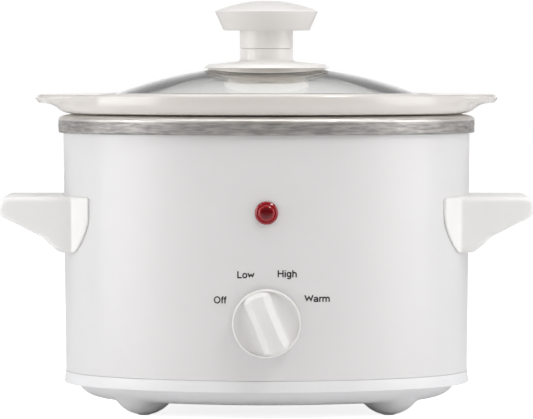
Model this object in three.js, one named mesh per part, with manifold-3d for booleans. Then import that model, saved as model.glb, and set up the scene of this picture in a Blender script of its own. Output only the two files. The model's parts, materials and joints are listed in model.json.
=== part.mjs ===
// A small oval slow cooker: painted steel sleeve on a plastic base, metal heating well,
// lift-out stoneware crock, glass lid and a rotary switch.
// Millimetres. +X is the right-hand handle, -Y is the front with the control knob, +Z is up.
// The origin is the middle of the bounding box's underside, on the surface it stands on.
import * as THREE from "three";
import { mergeVertices } from "three/addons/utils/BufferGeometryUtils.js";
import Module from "manifold-3d";

const wasm = await Module();
wasm.setup();

// ---------------------------------------------------------------- driving dimensions

const GAP = 0.3; // between pieces that touch
const FACETS = 40; // round an oval piece
const ROUND = 24; // round a turned piece
const SMALL_ROUND = 12; // round a screw or a wire fitting
const CUT_PAST = 1; // how far a cut runs past what it cuts
const JOIN_DEPTH = 1; // how far joined shapes reach into each other

// Plan of the housing: an oval of four tangent arcs. Pieces of one family share its arc centres,
// so their walls stay parallel all the way round.
const PLAN_DIFFERENCE = 21.8; // half length minus half depth
const ARC_TURN = THREE.MathUtils.degToRad(54); // where the end arcs meet the side arcs
const CORE_HALF_LENGTH = 45; // inside it an oval keeps its shape and shrinks to the middle

// Base pan and feet
const PAN_FLOOR_Z = 7.5; // underside of the pan above the ground
const PAN_LOWER_TIER = 7.4;
const PAN_UPPER_TIER = 5.9;
const PAN_TIER_STEP = 7.2; // how far the lower tier is set in
const PAN_EDGE_RUN = 10; // run of the lower tier's rounded foot edge
const PAN_EDGE_CURVE = [
  [0.3, 0.15],
  [0.8, 0.75],
]; // points of that edge: share of its run, share of its rise
const PAN_LIP = 1.1; // how far the upper tier stands out past the sleeve
const PAN_LIP_ROUND = 0.6;
const PAN_TOP_ROUND = 0.6;
const PAN_WALL = 2.4;
const PAN_RIB_HEIGHT = 5; // rib that locates the sleeve
const PAN_RIB_THICKNESS = 1.8;
const FOOT_X = 63.5;
const FOOT_Y = 35;
const FOOT_RADIUS = 17.5; // radius of the foot's dome
const PAD_RADIUS = 4;
const PAD_PROUD = 0.8;
const PAD_DEPTH = 3; // how deep the pad is let into the foot

// Sleeve
const SHELL_HEIGHT = 131.9;
const SHELL_TOP_HALF_LENGTH = 106.8;
const SHELL_TAPER = 1.2; // the half length lost from top to bottom
const SHELL_WALL = 1;

// Heating well and its rolled band
const AIR_GAP = 14.3; // between sleeve and well at the top
const WELL_SHEET = 1.2;
const WELL_CORNER = 15;
const BAND_THICKNESS = 2.2;
const BAND_HEIGHT = 7.9;

// Crock
const CROCK_PLAY = 1.7; // between crock and well
const CROCK_WALL = 6.5;
const CROCK_FLOOR = 7;
const CROCK_CORNER = 13.5;
const CAVITY_CORNER = 12;
const WALL_DRAFT = 0.05; // lean of the crock's and the well's walls
const RIM_GAP = 0.8; // between band and rim
const RIM_HEIGHT = 10.6;
const RIM_OVERHANG = 20.2;
const RIM_FILLET = 3.6; // between the crock's wall and its rim
const RIM_UNDER_ROUND = 4.6;
const RIM_TOP_ROUND = 3;
const EAR_REACH = 13.4; // past the rim
const EAR_RADIUS = 42;
const EAR_THICKNESS = 5;
const EAR_DROP = 0.4; // top of the ear below the top of the rim
const EAR_SWELL = 0.8; // how much thicker the ear is at its root
const LEDGE_WIDTH = 5;
const LEDGE_CHAMFER = 0.8;
const LID_RECESS = 7;

// Lid
const LID_PLAY = 0.8;
const GLASS = 4;
const GLASS_CHAMFER = 1;
const DOME_RISE = 17.8;
const DOME_RINGS = [1, 0.85, 0.68, 0.48, 0.25]; // rings of the dome, as shares of its half length
const COLLAR_RADIUS = 32.6;
const COLLAR_SEAT_RADIUS = 9.8; // flat in the middle of its underside
const COLLAR_FOOT = 1.5; // width of the rim that stands on the glass
const COLLAR_LEAN = 0.6; // of the flange's edge
const COLLAR_EDGE = 1.6;
const COLLAR_SLOPE = 3.4; // rise of the flange from its edge to the stem
const STEM_RADIUS = 14;
const STEM_FILLET = 1.5;
const COLLAR_STEM = 7; // stem above the flange, up to the seam
const CAP_STEM = 10; // stem between the seam and the disk
const DISK_BOTTOM_RADIUS = 22.5;
const DISK_TOP_RADIUS = 26.5;
const DISK_EDGE = 1.5; // rounding between the disk's underside and side
const DISK_SAG = 0.6; // the underside bulges down by this
const DISK_SIDE = 9.9;
const DISK_CROWN = 5.2;
const WASHER_RADIUS = 21;
const WASHER_THICKNESS = 4;
const WASHER_CHAMFER = 1.2;
const LID_SCREW_RADIUS = 2;
const LID_SCREW_HEAD_RADIUS = 4;
const LID_SCREW_HEAD = 2;
const LID_SCREW_CHAMFER = 0.6;
const LID_SCREW_BITE = 12; // thread inside the cap above the seam

// Handles
const HANDLE_REACH = 32.9; // from the sleeve's widest point to the tip
const HANDLE_RISE = 92.1; // from the sleeve's lower edge to the top of the handle
const HANDLE_ROOT_HEIGHT = 29.4;
const GRIP_WIDTH = 62;
const GRIP_ROUND = 2.5;
const HANDLE_WALL = 2.6;
const NOSE_HEIGHT = 12; // height of the rounded tip
const NOSE_RUN = 5.5; // length of its rounding along the top
const NOSE_SETBACK = 4.2; // from the tip to where the sloping underside starts
const NOSE_PULL = 2; // how full the tip is at its lower end
const KNEE_REACH = 11.7; // from the sleeve's widest point to where the underside turns down
const KNEE_DROP = 20.7;
const KNEE_PULL_X = 4; // where the curve below the knee is drawn to
const KNEE_PULL_Z = 2.2;
const ROOT_PULL_X = 5; // where it is drawn to above the flange
const ROOT_PULL_Z = 1;
const FLANGE_THICKNESS = 2.2;
const FLANGE_TOP_WIDTH = 90;
const FLANGE_BOTTOM_WIDTH = 66;
const FLANGE_SHOULDER = 10; // straight part of the flange's sides
const FLANGE_TOP_CHAMFER = 1;
const FLANGE_CORNER_RUN = 3; // cut corner at its lower end
const FLANGE_CORNER_RISE = 2;
const HANDLE_SCREW_SPACING = 26;
const HANDLE_SCREW_DROP = 13; // below the top of the handle
const HANDLE_SCREW_RADIUS = 1.75;
const HANDLE_BOSS_RADIUS = 4;
const HANDLE_BOSS_LENGTH = 8;
const HANDLE_BOSS_END = 1.5; // closed end beyond the pilot hole
const SCREW_HEAD = 2.2;
const SCREW_HEAD_RADIUS = 3.4;

// Control
const CONTROL_RISE = 29.6; // from the sleeve's lower edge to the control's axis
const KNOB_RADIUS = 17.4;
const KNOB_DISK = 6.5; // thickness of the knob's disk
const KNOB_HEIGHT = 17;
const KNOB_STANDOFF = 1.4; // between sleeve and knob
const KNOB_RECESS_RADIUS = 10.5;
const KNOB_RECESS = 4.2;
const GRIP_BAR_WIDTH = 10;
const GRIP_BAR_INSET = 0.2; // its ends from the disk's edge
const GRIP_BAR_LEAN = 1; // its ends lean in by this
const GRIP_BAR_CHAMFER = 2;
const KNOB_EDGE = 1.2;
const KNOB_BACK_CHAMFER = 0.8;
const KNOB_CROWN = 1; // rise of the disk's face to its middle
const REST_TURN = THREE.MathUtils.degToRad(22.5); // the grip bar leans left, at the second setting
const SHAFT_RADIUS = 3;
const SHAFT_FLAT = 1.6; // distance of the shaft's flat from its axis
const SHAFT_IN_KNOB = 8;
const CLIP_THICKNESS = 0.7;
const BUSHING_RADIUS = 4.6;
const BUSHING_PROUD = 4.4; // past the sleeve
const NUT_WIDTH = 14;
const NUT_THICKNESS = 2.5;
const SWITCH_WIDTH = 26;
const SWITCH_HEIGHT = 24;
const SWITCH_DEPTH = 13;
const SWITCH_BOSS_RADIUS = 8;
const SWITCH_REAR_WALL = 2;

// Power light
const LAMP_RISE = 85.5; // from the sleeve's lower edge to the light
const LENS_RADIUS = 5.9;
const LENS_FRONT_RADIUS = 3.9;
const LENS_PROUD = 3.6;
const LENS_FLANGE = 1;
const LENS_EDGE = 0.4;
const LENS_TUBE_RADIUS = 4;
const LENS_TUBE = 7; // behind the flange
const LENS_WALL = 1.1;
const LAMP_TAIL = 2.5; // lamp behind the lens tube
const RETAINER_RADIUS = 7.5;
const RETAINER_THICKNESS = 0.7;

// Heater and what is under the well
const HEATER_RISE = 17.2; // above the underside of the well
const HEATER_HEIGHT = 34;
const HEATER_THICKNESS = 2.5;
const HEATER_SPLIT = 8; // gap between its ends at the back
const STRAP_WIDTH = 8;
const STRAP_THICKNESS = 1;
const STRAP_LUG = 7.5;
const STRAP_SCREW_RADIUS = 1.5;
const STRAP_SCREW_OVERHANG = 3; // screw past each lug
const STRAP_SCREW_HEAD_RADIUS = 2.8;
const SHIELD_SHEET = 0.8;
const UNDER_WELL = 21.9; // room between the shield and the well
const BRACKET_WIDTH = 18;
const BRACKET_SHEET = 2;
const BRACKET_HALF_SPAN = 33; // from the middle to the outer face of a leg
const BRACKET_FOOT = 14;
const BASE_SCREW_X = 40;
const BASE_SCREW_RADIUS = 2;
const BASE_SCREW_PAST_FOOT = 2.5;
const BASE_BOSS_RADIUS = 6.5;
const BASE_BOSS_HEIGHT = 11.7; // above the pan's underside
const COUNTERBORE_RADIUS = 4.2;
const COUNTERBORE_DEPTH = 2.8;
const FUSE_RADIUS = 2;
const FUSE_LENGTH = 14;
const FUSE_Y = -30;
const FUSE_CLIP_WIDTH = 6;
const FUSE_CLIP_SHEET = 0.8;
const FUSE_CLIP_WING = 5;

// Mains entry
const GLAND_RISE = 14.9; // from the sleeve's lower edge to the cord's entry
const GLAND_NECK_RADIUS = 5.6;
const GLAND_BORE_RADIUS = 3.6;
const GLAND_FLANGE_RADIUS = 8;
const GLAND_FLANGE = 4.2;
const GLAND_TIP = 1; // width of its outer end outside the neck
const GLAND_INNER_FLANGE = 2.5;
const TERMINAL_LENGTH = 30;
const TERMINAL_DEPTH = 14;
const TERMINAL_HEIGHT = 12;
const TERMINAL_SETBACK = 14; // from the inside of the sleeve
const TERMINAL_SCREW_RADIUS = 1.5;
const TERMINAL_SCREW_HEAD_RADIUS = 3;
const TERMINAL_POLE = 9; // from the middle of the block to each wire
const TERMINAL_WIRE_RISE = 5; // of the wires above the block's foot

// Wires
const WIRE_RADIUS = 1.1;
const WIRE_TIP_GAP = 0.6; // between a wire's end and what it is joined to
const WIRE_LEAD = 5; // straight length at a wire's end
const WIRE_SPREAD = 19; // of the wires to each side in the middle of the space under the well
const SWITCH_PIN_X = 8;
const SWITCH_PIN_DROP = 4; // of the side pin below the control's axis
const SWITCH_APPROACH = 25; // length over which the live wire climbs to the switch
const NEUTRAL_TURN = 34; // where the neutral wire turns up, left of the middle and in front of it
const NEUTRAL_END_X = -46; // where it meets the heater
const HEATER_LEAD_X = 32; // where the switched wire meets the heater
const LAMP_WIRE_SLACK = 6; // bow of the lamp's wire above its middle

// ---------------------------------------------------------------- levels and derived sizes

const padTop = PAD_PROUD + PAD_DEPTH;
const panTierZ = PAN_FLOOR_Z + PAN_LOWER_TIER;
const panTop = panTierZ + PAN_UPPER_TIER;
const baseBossTop = PAN_FLOOR_Z + BASE_BOSS_HEIGHT;
const shieldBottom = panTop + PAN_RIB_HEIGHT + GAP;
const shieldTop = shieldBottom + SHIELD_SHEET;
const shellBottom = panTop + GAP;
const shellTop = shellBottom + SHELL_HEIGHT;
const bandTop = shellTop + GAP + WELL_SHEET;
const rimUnderside = bandTop + RIM_GAP;
const crockTop = rimUnderside + RIM_HEIGHT;
const wellUnderside = shieldTop + UNDER_WELL;
const wellFloor = wellUnderside + WELL_SHEET;
const crockBottom = wellFloor + GAP;
const heaterBottom = wellUnderside + HEATER_RISE;
const ledgeZ = crockTop - LID_RECESS;
const glassEdgeZ = ledgeZ + GAP;
const glassApexZ = glassEdgeZ + GLASS + DOME_RISE;
const seamZ = glassApexZ + COLLAR_EDGE + COLLAR_STEM + GAP;
const handleTop = shellBottom + HANDLE_RISE;
const handleBottom = handleTop - HANDLE_ROOT_HEIGHT;
const controlZ = shellBottom + CONTROL_RISE;
const lampZ = shellBottom + LAMP_RISE;
const glandZ = shellBottom + GLAND_RISE;

const shellBottomHalfLength = SHELL_TOP_HALF_LENGTH - SHELL_TAPER;
const crockTopHalfLength = SHELL_TOP_HALF_LENGTH - SHELL_WALL - AIR_GAP - WELL_SHEET - CROCK_PLAY;
const rimHalfLength = crockTopHalfLength + RIM_OVERHANG;
const cavityTopHalfLength = crockTopHalfLength - CROCK_WALL;
const recessHalfLength = cavityTopHalfLength + LEDGE_WIDTH;
const lidHalfLength = recessHalfLength - LID_PLAY;
const domeNarrowing = lidHalfLength / (lidHalfLength - PLAN_DIFFERENCE);
const handleTipX = SHELL_TOP_HALF_LENGTH + HANDLE_REACH;

const endArcCentre = PLAN_DIFFERENCE / (1 + Math.tan(ARC_TURN) - 1 / Math.cos(ARC_TURN));
const sideArcCentre = endArcCentre * Math.tan(ARC_TURN);

/** Half length of the sleeve's outside at a height. */
function shellHalfLength(z) {
  return shellBottomHalfLength + (SHELL_TAPER * (z - shellBottom)) / SHELL_HEIGHT;
}

/** Half depth of the sleeve's outside at a height. */
function shellHalfDepth(z) {
  return shellHalfLength(z) - PLAN_DIFFERENCE;
}

/** Half length of the crock's outside at a height. */
function crockHalfLength(z) {
  return crockTopHalfLength - WALL_DRAFT * (rimUnderside - z);
}

/** Half length of the well's outside at a height. */
function wellHalfLength(z) {
  return crockHalfLength(z) + CROCK_PLAY + WELL_SHEET;
}

/** How far a side arc of this half length falls back from its middle at a distance x from it. */
function sideFallback(halfLength, x) {
  const radius = halfLength - PLAN_DIFFERENCE + sideArcCentre;
  const step = (2 * Math.PI) / FACETS;
  const facetEnd = radius * Math.sin(step);
  const facetDrop = radius * (1 - Math.cos(step));
  return Math.max(radius - Math.sqrt(radius * radius - x * x), (facetDrop * Math.abs(x)) / facetEnd);
}

/** How far an end arc of this half length falls back from its middle at a distance y from it. */
function endFallback(halfLength, y) {
  const radius = halfLength - endArcCentre;
  const sag = radius * (1 - Math.cos(Math.PI / FACETS));
  return radius - Math.sqrt(radius * radius - y * y) + sag;
}

// ---------------------------------------------------------------- making solids

/** A closed geometry as a solid that can be joined and cut. */
function solid(geometry) {
  geometry.deleteAttribute("normal");
  geometry.deleteAttribute("uv");
  const merged = mergeVertices(geometry);
  const mesh = new wasm.Mesh({
    numProp: 3,
    vertProperties: merged.getAttribute("position").array,
    triVerts: Uint32Array.from(merged.index.array),
  });
  return new wasm.Manifold(mesh);
}

/** A solid as a plain geometry. */
function geometryOf(body) {
  const mesh = body.getMesh();
  const geometry = new THREE.BufferGeometry();
  geometry.setAttribute("position", new THREE.BufferAttribute(mesh.vertProperties, 3));
  geometry.setIndex(new THREE.BufferAttribute(mesh.triVerts, 1));
  geometry.computeVertexNormals();
  return geometry;
}

/** Points of a round stretch of a profile, from one angle to another in degrees. */
function arc(x, z, radius, from, to, steps = 3) {
  return Array.from({ length: steps + 1 }, (_, i) => {
    const angle = THREE.MathUtils.degToRad(from + ((to - from) * i) / steps);
    return [x + radius * Math.cos(angle), z + radius * Math.sin(angle)];
  });
}

/** A profile of [radius, height] points turned about the Z axis. */
function latheGeometry(profile, facets) {
  const points = profile.map(([radius, z]) => new THREE.Vector2(radius, z));
  return new THREE.LatheGeometry(points, facets).rotateX(Math.PI / 2);
}

function turned(profile, facets = ROUND) {
  return solid(latheGeometry(profile, facets));
}

/** A turned solid whose axis points out of the front, starting at the given y. */
function turnedToFront(profile, y, z, facets = ROUND) {
  return solid(latheGeometry(profile, facets).rotateX(Math.PI / 2).translate(0, y, z));
}

/** Closes a ring's profile on itself. */
function ring(profile) {
  return [...profile, profile[0]];
}

/** Where the oval of a half length has its outward normal at an angle. */
function ovalPoint(halfLength, angle) {
  const [nx, ny] = [Math.cos(angle), Math.sin(angle)];
  if (Math.abs(ny) < Math.sin(ARC_TURN)) {
    const radius = halfLength - endArcCentre;
    return [radius * nx + Math.sign(nx) * endArcCentre, radius * ny];
  }
  const radius = halfLength - PLAN_DIFFERENCE + sideArcCentre;
  return [radius * nx, radius * ny - Math.sign(ny) * sideArcCentre];
}

/** A profile of [half length, height] points carried round the oval. */
function oval(profile, core = CORE_HALF_LENGTH) {
  const geometry = latheGeometry(profile, FACETS);
  const position = geometry.getAttribute("position");
  for (let i = 0; i < position.count; i += 1) {
    const radius = Math.hypot(position.getX(i), position.getY(i));
    const angle = Math.atan2(position.getY(i), position.getX(i));
    const reach = Math.max(radius, core);
    const [x, y] = ovalPoint(reach, angle);
    position.setXY(i, (x * radius) / reach, (y * radius) / reach);
  }
  return solid(geometry);
}

/** A filled oval as wide as the sleeve's outside plus an offset, between two heights. */
function shellEnvelope(offset, bottom, top) {
  return oval([
    [0, bottom],
    [shellHalfLength(bottom) + offset, bottom],
    [shellHalfLength(top) + offset, top],
    [0, top],
  ]);
}

/** A round bar along an axis between two of its coordinates; at gives the other two. */
function bar(axis, radius, from, to, at, sides = SMALL_ROUND) {
  const geometry = new THREE.CylinderGeometry(radius, radius, to - from, sides);
  if (axis === "x") geometry.rotateZ(-Math.PI / 2);
  if (axis === "z") geometry.rotateX(Math.PI / 2);
  const middle = { x: 0, y: 0, z: 0, ...at, [axis]: (from + to) / 2 };
  return solid(geometry.translate(middle.x, middle.y, middle.z));
}

/** A box between two corners. */
function block([x0, y0, z0], [x1, y1, z1]) {
  const geometry = new THREE.BoxGeometry(x1 - x0, y1 - y0, z1 - z0);
  return solid(geometry.translate((x0 + x1) / 2, (y0 + y1) / 2, (z0 + z1) / 2));
}

/** An outline in the X-Z plane, made solid across a width in Y about the middle. */
function acrossY(outline, width, round = 0) {
  const geometry = new THREE.ExtrudeGeometry(outline, {
    depth: width - 2 * round,
    curveSegments: 4,
    bevelEnabled: round > 0,
    bevelThickness: round,
    bevelSize: round,
    bevelOffset: -round,
    bevelSegments: 2,
  });
  return solid(geometry.rotateX(Math.PI / 2).translate(0, width / 2 - round, 0));
}

function polygon(points) {
  return new THREE.Shape(points.map(([x, y]) => new THREE.Vector2(x, y)));
}

// ---------------------------------------------------------------- housing

/** The sleeve, with its holes for lens, switch, cord and handle screws. */
function outerShell() {
  const sleeve = oval(
    ring([
      [shellBottomHalfLength, shellBottom],
      [SHELL_TOP_HALF_LENGTH, shellTop],
      [SHELL_TOP_HALF_LENGTH - SHELL_WALL, shellTop],
      [shellBottomHalfLength - SHELL_WALL, shellBottom],
    ]),
  );
  const front = -shellHalfDepth(shellTop) - CUT_PAST;
  const holes = [
    bar("y", LENS_TUBE_RADIUS + GAP, front, 0, { z: lampZ }, ROUND),
    bar("y", BUSHING_RADIUS + GAP, front, 0, { z: controlZ }, ROUND),
    bar("y", GLAND_NECK_RADIUS + GAP, 0, -front, { z: glandZ }, ROUND),
    ...handleScrewPlaces().map(([y, z]) =>
      bar("x", HANDLE_SCREW_RADIUS + GAP, -handleTipX, handleTipX, { y, z }),
    ),
  ];
  return holes.reduce((body, hole) => body.subtract(hole), sleeve);
}

/** The heating well: floor, wall, flange over the sleeve's edge and the band outside it. */
function well() {
  const bandInside = SHELL_TOP_HALF_LENGTH + GAP;
  const bandOutside = bandInside + BAND_THICKNESS;
  const flangeUnderside = bandTop - WELL_SHEET;
  const cornerZ = wellUnderside + WELL_CORNER;
  const outerCorner = wellHalfLength(cornerZ) - WELL_CORNER;
  const innerCorner = WELL_CORNER - WELL_SHEET;
  const insideTop = wellHalfLength(bandTop) - WELL_SHEET;
  return oval([
    [0, wellUnderside],
    ...arc(outerCorner, cornerZ, WELL_CORNER, -90, 0),
    [wellHalfLength(flangeUnderside), flangeUnderside],
    [bandInside, flangeUnderside],
    [bandInside, bandTop - BAND_HEIGHT],
    [bandOutside, bandTop - BAND_HEIGHT],
    ...arc(bandInside, bandTop - BAND_THICKNESS, BAND_THICKNESS, 0, 90, 2),
    ...arc(insideTop + WELL_SHEET, bandTop - WELL_SHEET, WELL_SHEET, 90, 180, 1),
    ...arc(outerCorner, cornerZ, innerCorner, 0, -90),
    [0, wellFloor],
  ]);
}

/** The base pan with its two tiers, locating rib, moulded feet and screw bosses. */
function basePan() {
  const lipHalfLength = shellBottomHalfLength + PAN_LIP;
  const tierHalfLength = lipHalfLength - PAN_TIER_STEP;
  const floorHalfLength = tierHalfLength - PAN_EDGE_RUN;
  const ribOutside = shellBottomHalfLength - SHELL_WALL - GAP;
  const ribInside = ribOutside - PAN_RIB_THICKNESS;
  const ribTop = panTop + PAN_RIB_HEIGHT;
  const edge = PAN_EDGE_CURVE.map(([run, rise]) => [
    floorHalfLength + run * PAN_EDGE_RUN,
    PAN_FLOOR_Z + rise * PAN_LOWER_TIER,
  ]);
  const pan = oval([
    [0, PAN_FLOOR_Z],
    [floorHalfLength, PAN_FLOOR_Z],
    ...edge,
    [tierHalfLength, panTierZ],
    ...arc(lipHalfLength - PAN_LIP_ROUND, panTierZ + PAN_LIP_ROUND, PAN_LIP_ROUND, -90, 0, 2),
    ...arc(lipHalfLength - PAN_TOP_ROUND, panTop - PAN_TOP_ROUND, PAN_TOP_ROUND, 0, 90, 2),
    [ribOutside, panTop],
    [ribOutside, ribTop],
    [ribInside, ribTop],
    [ribInside, panTierZ + PAN_WALL],
    [floorHalfLength, PAN_FLOOR_Z + PAN_WALL],
    [0, PAN_FLOOR_Z + PAN_WALL],
  ]);
  const additions = [...footPlaces().map(footDome), ...baseScrewPlaces().map(baseBoss)];
  const cuts = [...footPlaces().map(padPocket), ...baseScrewPlaces().map(baseScrewHole)];
  const joined = additions.reduce((body, piece) => body.add(piece), pan);
  return cuts.reduce((body, cut) => body.subtract(cut), joined);
}

function footPlaces() {
  return [
    [-FOOT_X, -FOOT_Y],
    [FOOT_X, -FOOT_Y],
    [-FOOT_X, FOOT_Y],
    [FOOT_X, FOOT_Y],
  ];
}

/** The dome of a foot, from the flat that the pad stands out of up into the pan's floor. */
function footDome([x, y]) {
  const flat = Math.sqrt(FOOT_RADIUS ** 2 - (FOOT_RADIUS - PAD_PROUD) ** 2);
  const top = PAN_FLOOR_Z + PAN_WALL / 2;
  const start = -THREE.MathUtils.radToDeg(Math.acos(flat / FOOT_RADIUS));
  const end = THREE.MathUtils.radToDeg(Math.asin((top - FOOT_RADIUS) / FOOT_RADIUS));
  const profile = [[0, PAD_PROUD], ...arc(0, FOOT_RADIUS, FOOT_RADIUS, start, end), [0, top]];
  return solid(latheGeometry(profile, ROUND).translate(x, y, 0));
}

function padPocket([x, y]) {
  return bar("z", PAD_RADIUS + GAP, 0, padTop + GAP, { x, y });
}

/** A rubber pad in a foot, flat on the ground. */
function footPad([x, y]) {
  return bar("z", PAD_RADIUS, 0, padTop, { x, y });
}

function baseScrewPlaces() {
  return [-BASE_SCREW_X, BASE_SCREW_X];
}

function baseBoss(x) {
  return bar("z", BASE_BOSS_RADIUS, PAN_FLOOR_Z, baseBossTop, { x }, ROUND);
}

function baseScrewHole(x) {
  const head = bar("z", COUNTERBORE_RADIUS, 0, PAN_FLOOR_Z + COUNTERBORE_DEPTH, { x });
  return head.add(bar("z", BASE_SCREW_RADIUS + GAP, 0, baseBossTop + CUT_PAST, { x }));
}

// ---------------------------------------------------------------- crock and lid

/** The stoneware crock with its rim, lid ledge and the two ears. */
function crock() {
  const cornerZ = crockBottom + CROCK_CORNER;
  const outerCorner = crockHalfLength(cornerZ) - CROCK_CORNER;
  const cavityFloor = crockBottom + CROCK_FLOOR;
  const cavityCornerZ = cavityFloor + CAVITY_CORNER;
  const cavityHalfLength = crockHalfLength(cavityCornerZ) - CROCK_WALL;
  const bowl = oval([
    [0, crockBottom],
    ...arc(outerCorner, cornerZ, CROCK_CORNER, -90, 0),
    ...arc(crockTopHalfLength + RIM_FILLET, rimUnderside - RIM_FILLET, RIM_FILLET, 180, 90, 2),
    ...arc(rimHalfLength - RIM_UNDER_ROUND, rimUnderside + RIM_UNDER_ROUND, RIM_UNDER_ROUND, -90, 0, 2),
    ...arc(rimHalfLength - RIM_TOP_ROUND, crockTop - RIM_TOP_ROUND, RIM_TOP_ROUND, 0, 90, 2),
    ...arc(recessHalfLength + RIM_TOP_ROUND, crockTop - RIM_TOP_ROUND, RIM_TOP_ROUND, 90, 180, 2),
    [recessHalfLength, ledgeZ],
    [cavityTopHalfLength + LEDGE_CHAMFER, ledgeZ],
    [cavityTopHalfLength, ledgeZ - LEDGE_CHAMFER],
    ...arc(cavityHalfLength - CAVITY_CORNER, cavityCornerZ, CAVITY_CORNER, 0, -90),
    [0, cavityFloor],
  ]);
  return bowl.add(ear(1)).add(ear(-1));
}

/** A thin rounded ear that carries the rim's top outwards at one end. */
function ear(side) {
  const top = crockTop - EAR_DROP;
  const underside = top - EAR_THICKNESS;
  const middleX = side * (rimHalfLength + EAR_REACH - EAR_RADIUS);
  const edge = EAR_THICKNESS / 2;
  const profile = [
    [0, underside - EAR_SWELL],
    [EAR_RADIUS - EAR_REACH, underside - EAR_SWELL],
    ...arc(EAR_RADIUS - edge, underside + edge, edge, -90, 90),
    [0, top],
  ];
  const disk = solid(latheGeometry(profile, 2 * ROUND).translate(middleX, 0, 0));
  const insideRim = oval([
    [0, underside - EAR_SWELL - CUT_PAST],
    [rimHalfLength - RIM_UNDER_ROUND, underside - EAR_SWELL - CUT_PAST],
    [rimHalfLength - RIM_UNDER_ROUND, top + CUT_PAST],
    [0, top + CUT_PAST],
  ]);
  return disk.subtract(insideRim);
}

/** Height of the glass's outside at a distance from its middle along X. */
function domeZ(radius, thickness = 0) {
  const outside = (lidHalfLength ** 2 + DOME_RISE ** 2) / (2 * DOME_RISE);
  const centreZ = glassApexZ - outside;
  return centreZ + Math.sqrt((outside - thickness) ** 2 - radius ** 2);
}

/** The glass dome with the screw's hole in the middle. */
function lidGlass() {
  const edge = lidHalfLength;
  const outside = DOME_RINGS.map((share) => [edge * share, domeZ(edge * share)]);
  const inside = DOME_RINGS.slice(1).map((share) => [edge * share, domeZ(edge * share, GLASS)]);
  const dome = oval(
    [
      [0, domeZ(0, GLASS)],
      ...inside.reverse(),
      [edge - GLASS, glassEdgeZ],
      [edge - GLASS_CHAMFER, glassEdgeZ],
      [edge, glassEdgeZ + GLASS_CHAMFER],
      ...outside,
      [0, glassApexZ],
    ],
    edge,
  );
  return dome.subtract(bar("z", LID_SCREW_RADIUS + 2 * GAP, glassEdgeZ, seamZ, {}));
}

/** Lower half of the knob's stem, with the wide flange that lies on the glass. */
function lidKnobCollar() {
  const bore = LID_SCREW_RADIUS + GAP;
  const flangeZ = domeZ(COLLAR_RADIUS) + 2 * GAP;
  const seatZ = glassApexZ + GAP;
  return turned(
    ring([
      [bore, seatZ],
      [COLLAR_SEAT_RADIUS, seatZ],
      [COLLAR_RADIUS - COLLAR_FOOT, flangeZ + GAP],
      [COLLAR_RADIUS, flangeZ + GAP],
      [COLLAR_RADIUS - COLLAR_LEAN, flangeZ + COLLAR_EDGE],
      [STEM_RADIUS + STEM_FILLET, flangeZ + COLLAR_SLOPE],
      [STEM_RADIUS, flangeZ + COLLAR_SLOPE + STEM_FILLET],
      [STEM_RADIUS, seamZ - GAP],
      [bore, seamZ - GAP],
    ]),
  );
}

/** Upper half of the stem, with the disk that the hand takes hold of. */
function lidKnobCap() {
  const bore = LID_SCREW_RADIUS + GAP;
  const diskZ = seamZ + CAP_STEM;
  const diskTop = diskZ + DISK_SIDE;
  const crownRadius = (DISK_TOP_RADIUS ** 2 + DISK_CROWN ** 2) / (2 * DISK_CROWN);
  const crownAngle = THREE.MathUtils.radToDeg(Math.acos(DISK_TOP_RADIUS / crownRadius));
  return turned([
    [0, seamZ + LID_SCREW_BITE + GAP],
    [bore, seamZ + LID_SCREW_BITE + GAP],
    [bore, seamZ],
    [STEM_RADIUS, seamZ],
    [STEM_RADIUS, diskZ],
    [DISK_BOTTOM_RADIUS - DISK_EDGE, diskZ - DISK_SAG],
    [DISK_BOTTOM_RADIUS, diskZ],
    ...arc(0, diskTop + DISK_CROWN - crownRadius, crownRadius, crownAngle, 90, 4),
  ]);
}

/** Plate under the glass, with a recess for the screw's head. */
function lidWasher() {
  const bore = LID_SCREW_RADIUS + GAP;
  const top = domeZ(0, GLASS) - GAP;
  const edgeTop = domeZ(WASHER_RADIUS * domeNarrowing, GLASS) - GAP;
  const bottom = top - WASHER_THICKNESS;
  const headRadius = LID_SCREW_HEAD_RADIUS + GAP;
  return turned(
    ring([
      [bore, bottom + LID_SCREW_HEAD],
      [headRadius, bottom + LID_SCREW_HEAD],
      [headRadius, bottom],
      [WASHER_RADIUS - WASHER_CHAMFER, bottom],
      [WASHER_RADIUS, bottom + WASHER_CHAMFER],
      [WASHER_RADIUS, edgeTop],
      [bore, top],
    ]),
  );
}

/** Screw from under the lid up into the cap. */
function lidScrew() {
  const headTop = domeZ(0, GLASS) - GAP - WASHER_THICKNESS + LID_SCREW_HEAD - GAP;
  return turned(
    [
      [0, headTop - LID_SCREW_HEAD],
      [LID_SCREW_HEAD_RADIUS - LID_SCREW_CHAMFER, headTop - LID_SCREW_HEAD],
      [LID_SCREW_HEAD_RADIUS, headTop - LID_SCREW_HEAD + LID_SCREW_CHAMFER],
      [LID_SCREW_HEAD_RADIUS, headTop],
      [LID_SCREW_RADIUS, headTop],
      [LID_SCREW_RADIUS, seamZ + LID_SCREW_BITE],
      [0, seamZ + LID_SCREW_BITE],
    ],
    SMALL_ROUND,
  );
}

// ---------------------------------------------------------------- handles

function handleScrewPlaces() {
  return [-1, 1].map((side) => [(side * HANDLE_SCREW_SPACING) / 2, handleTop - HANDLE_SCREW_DROP]);
}

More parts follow.
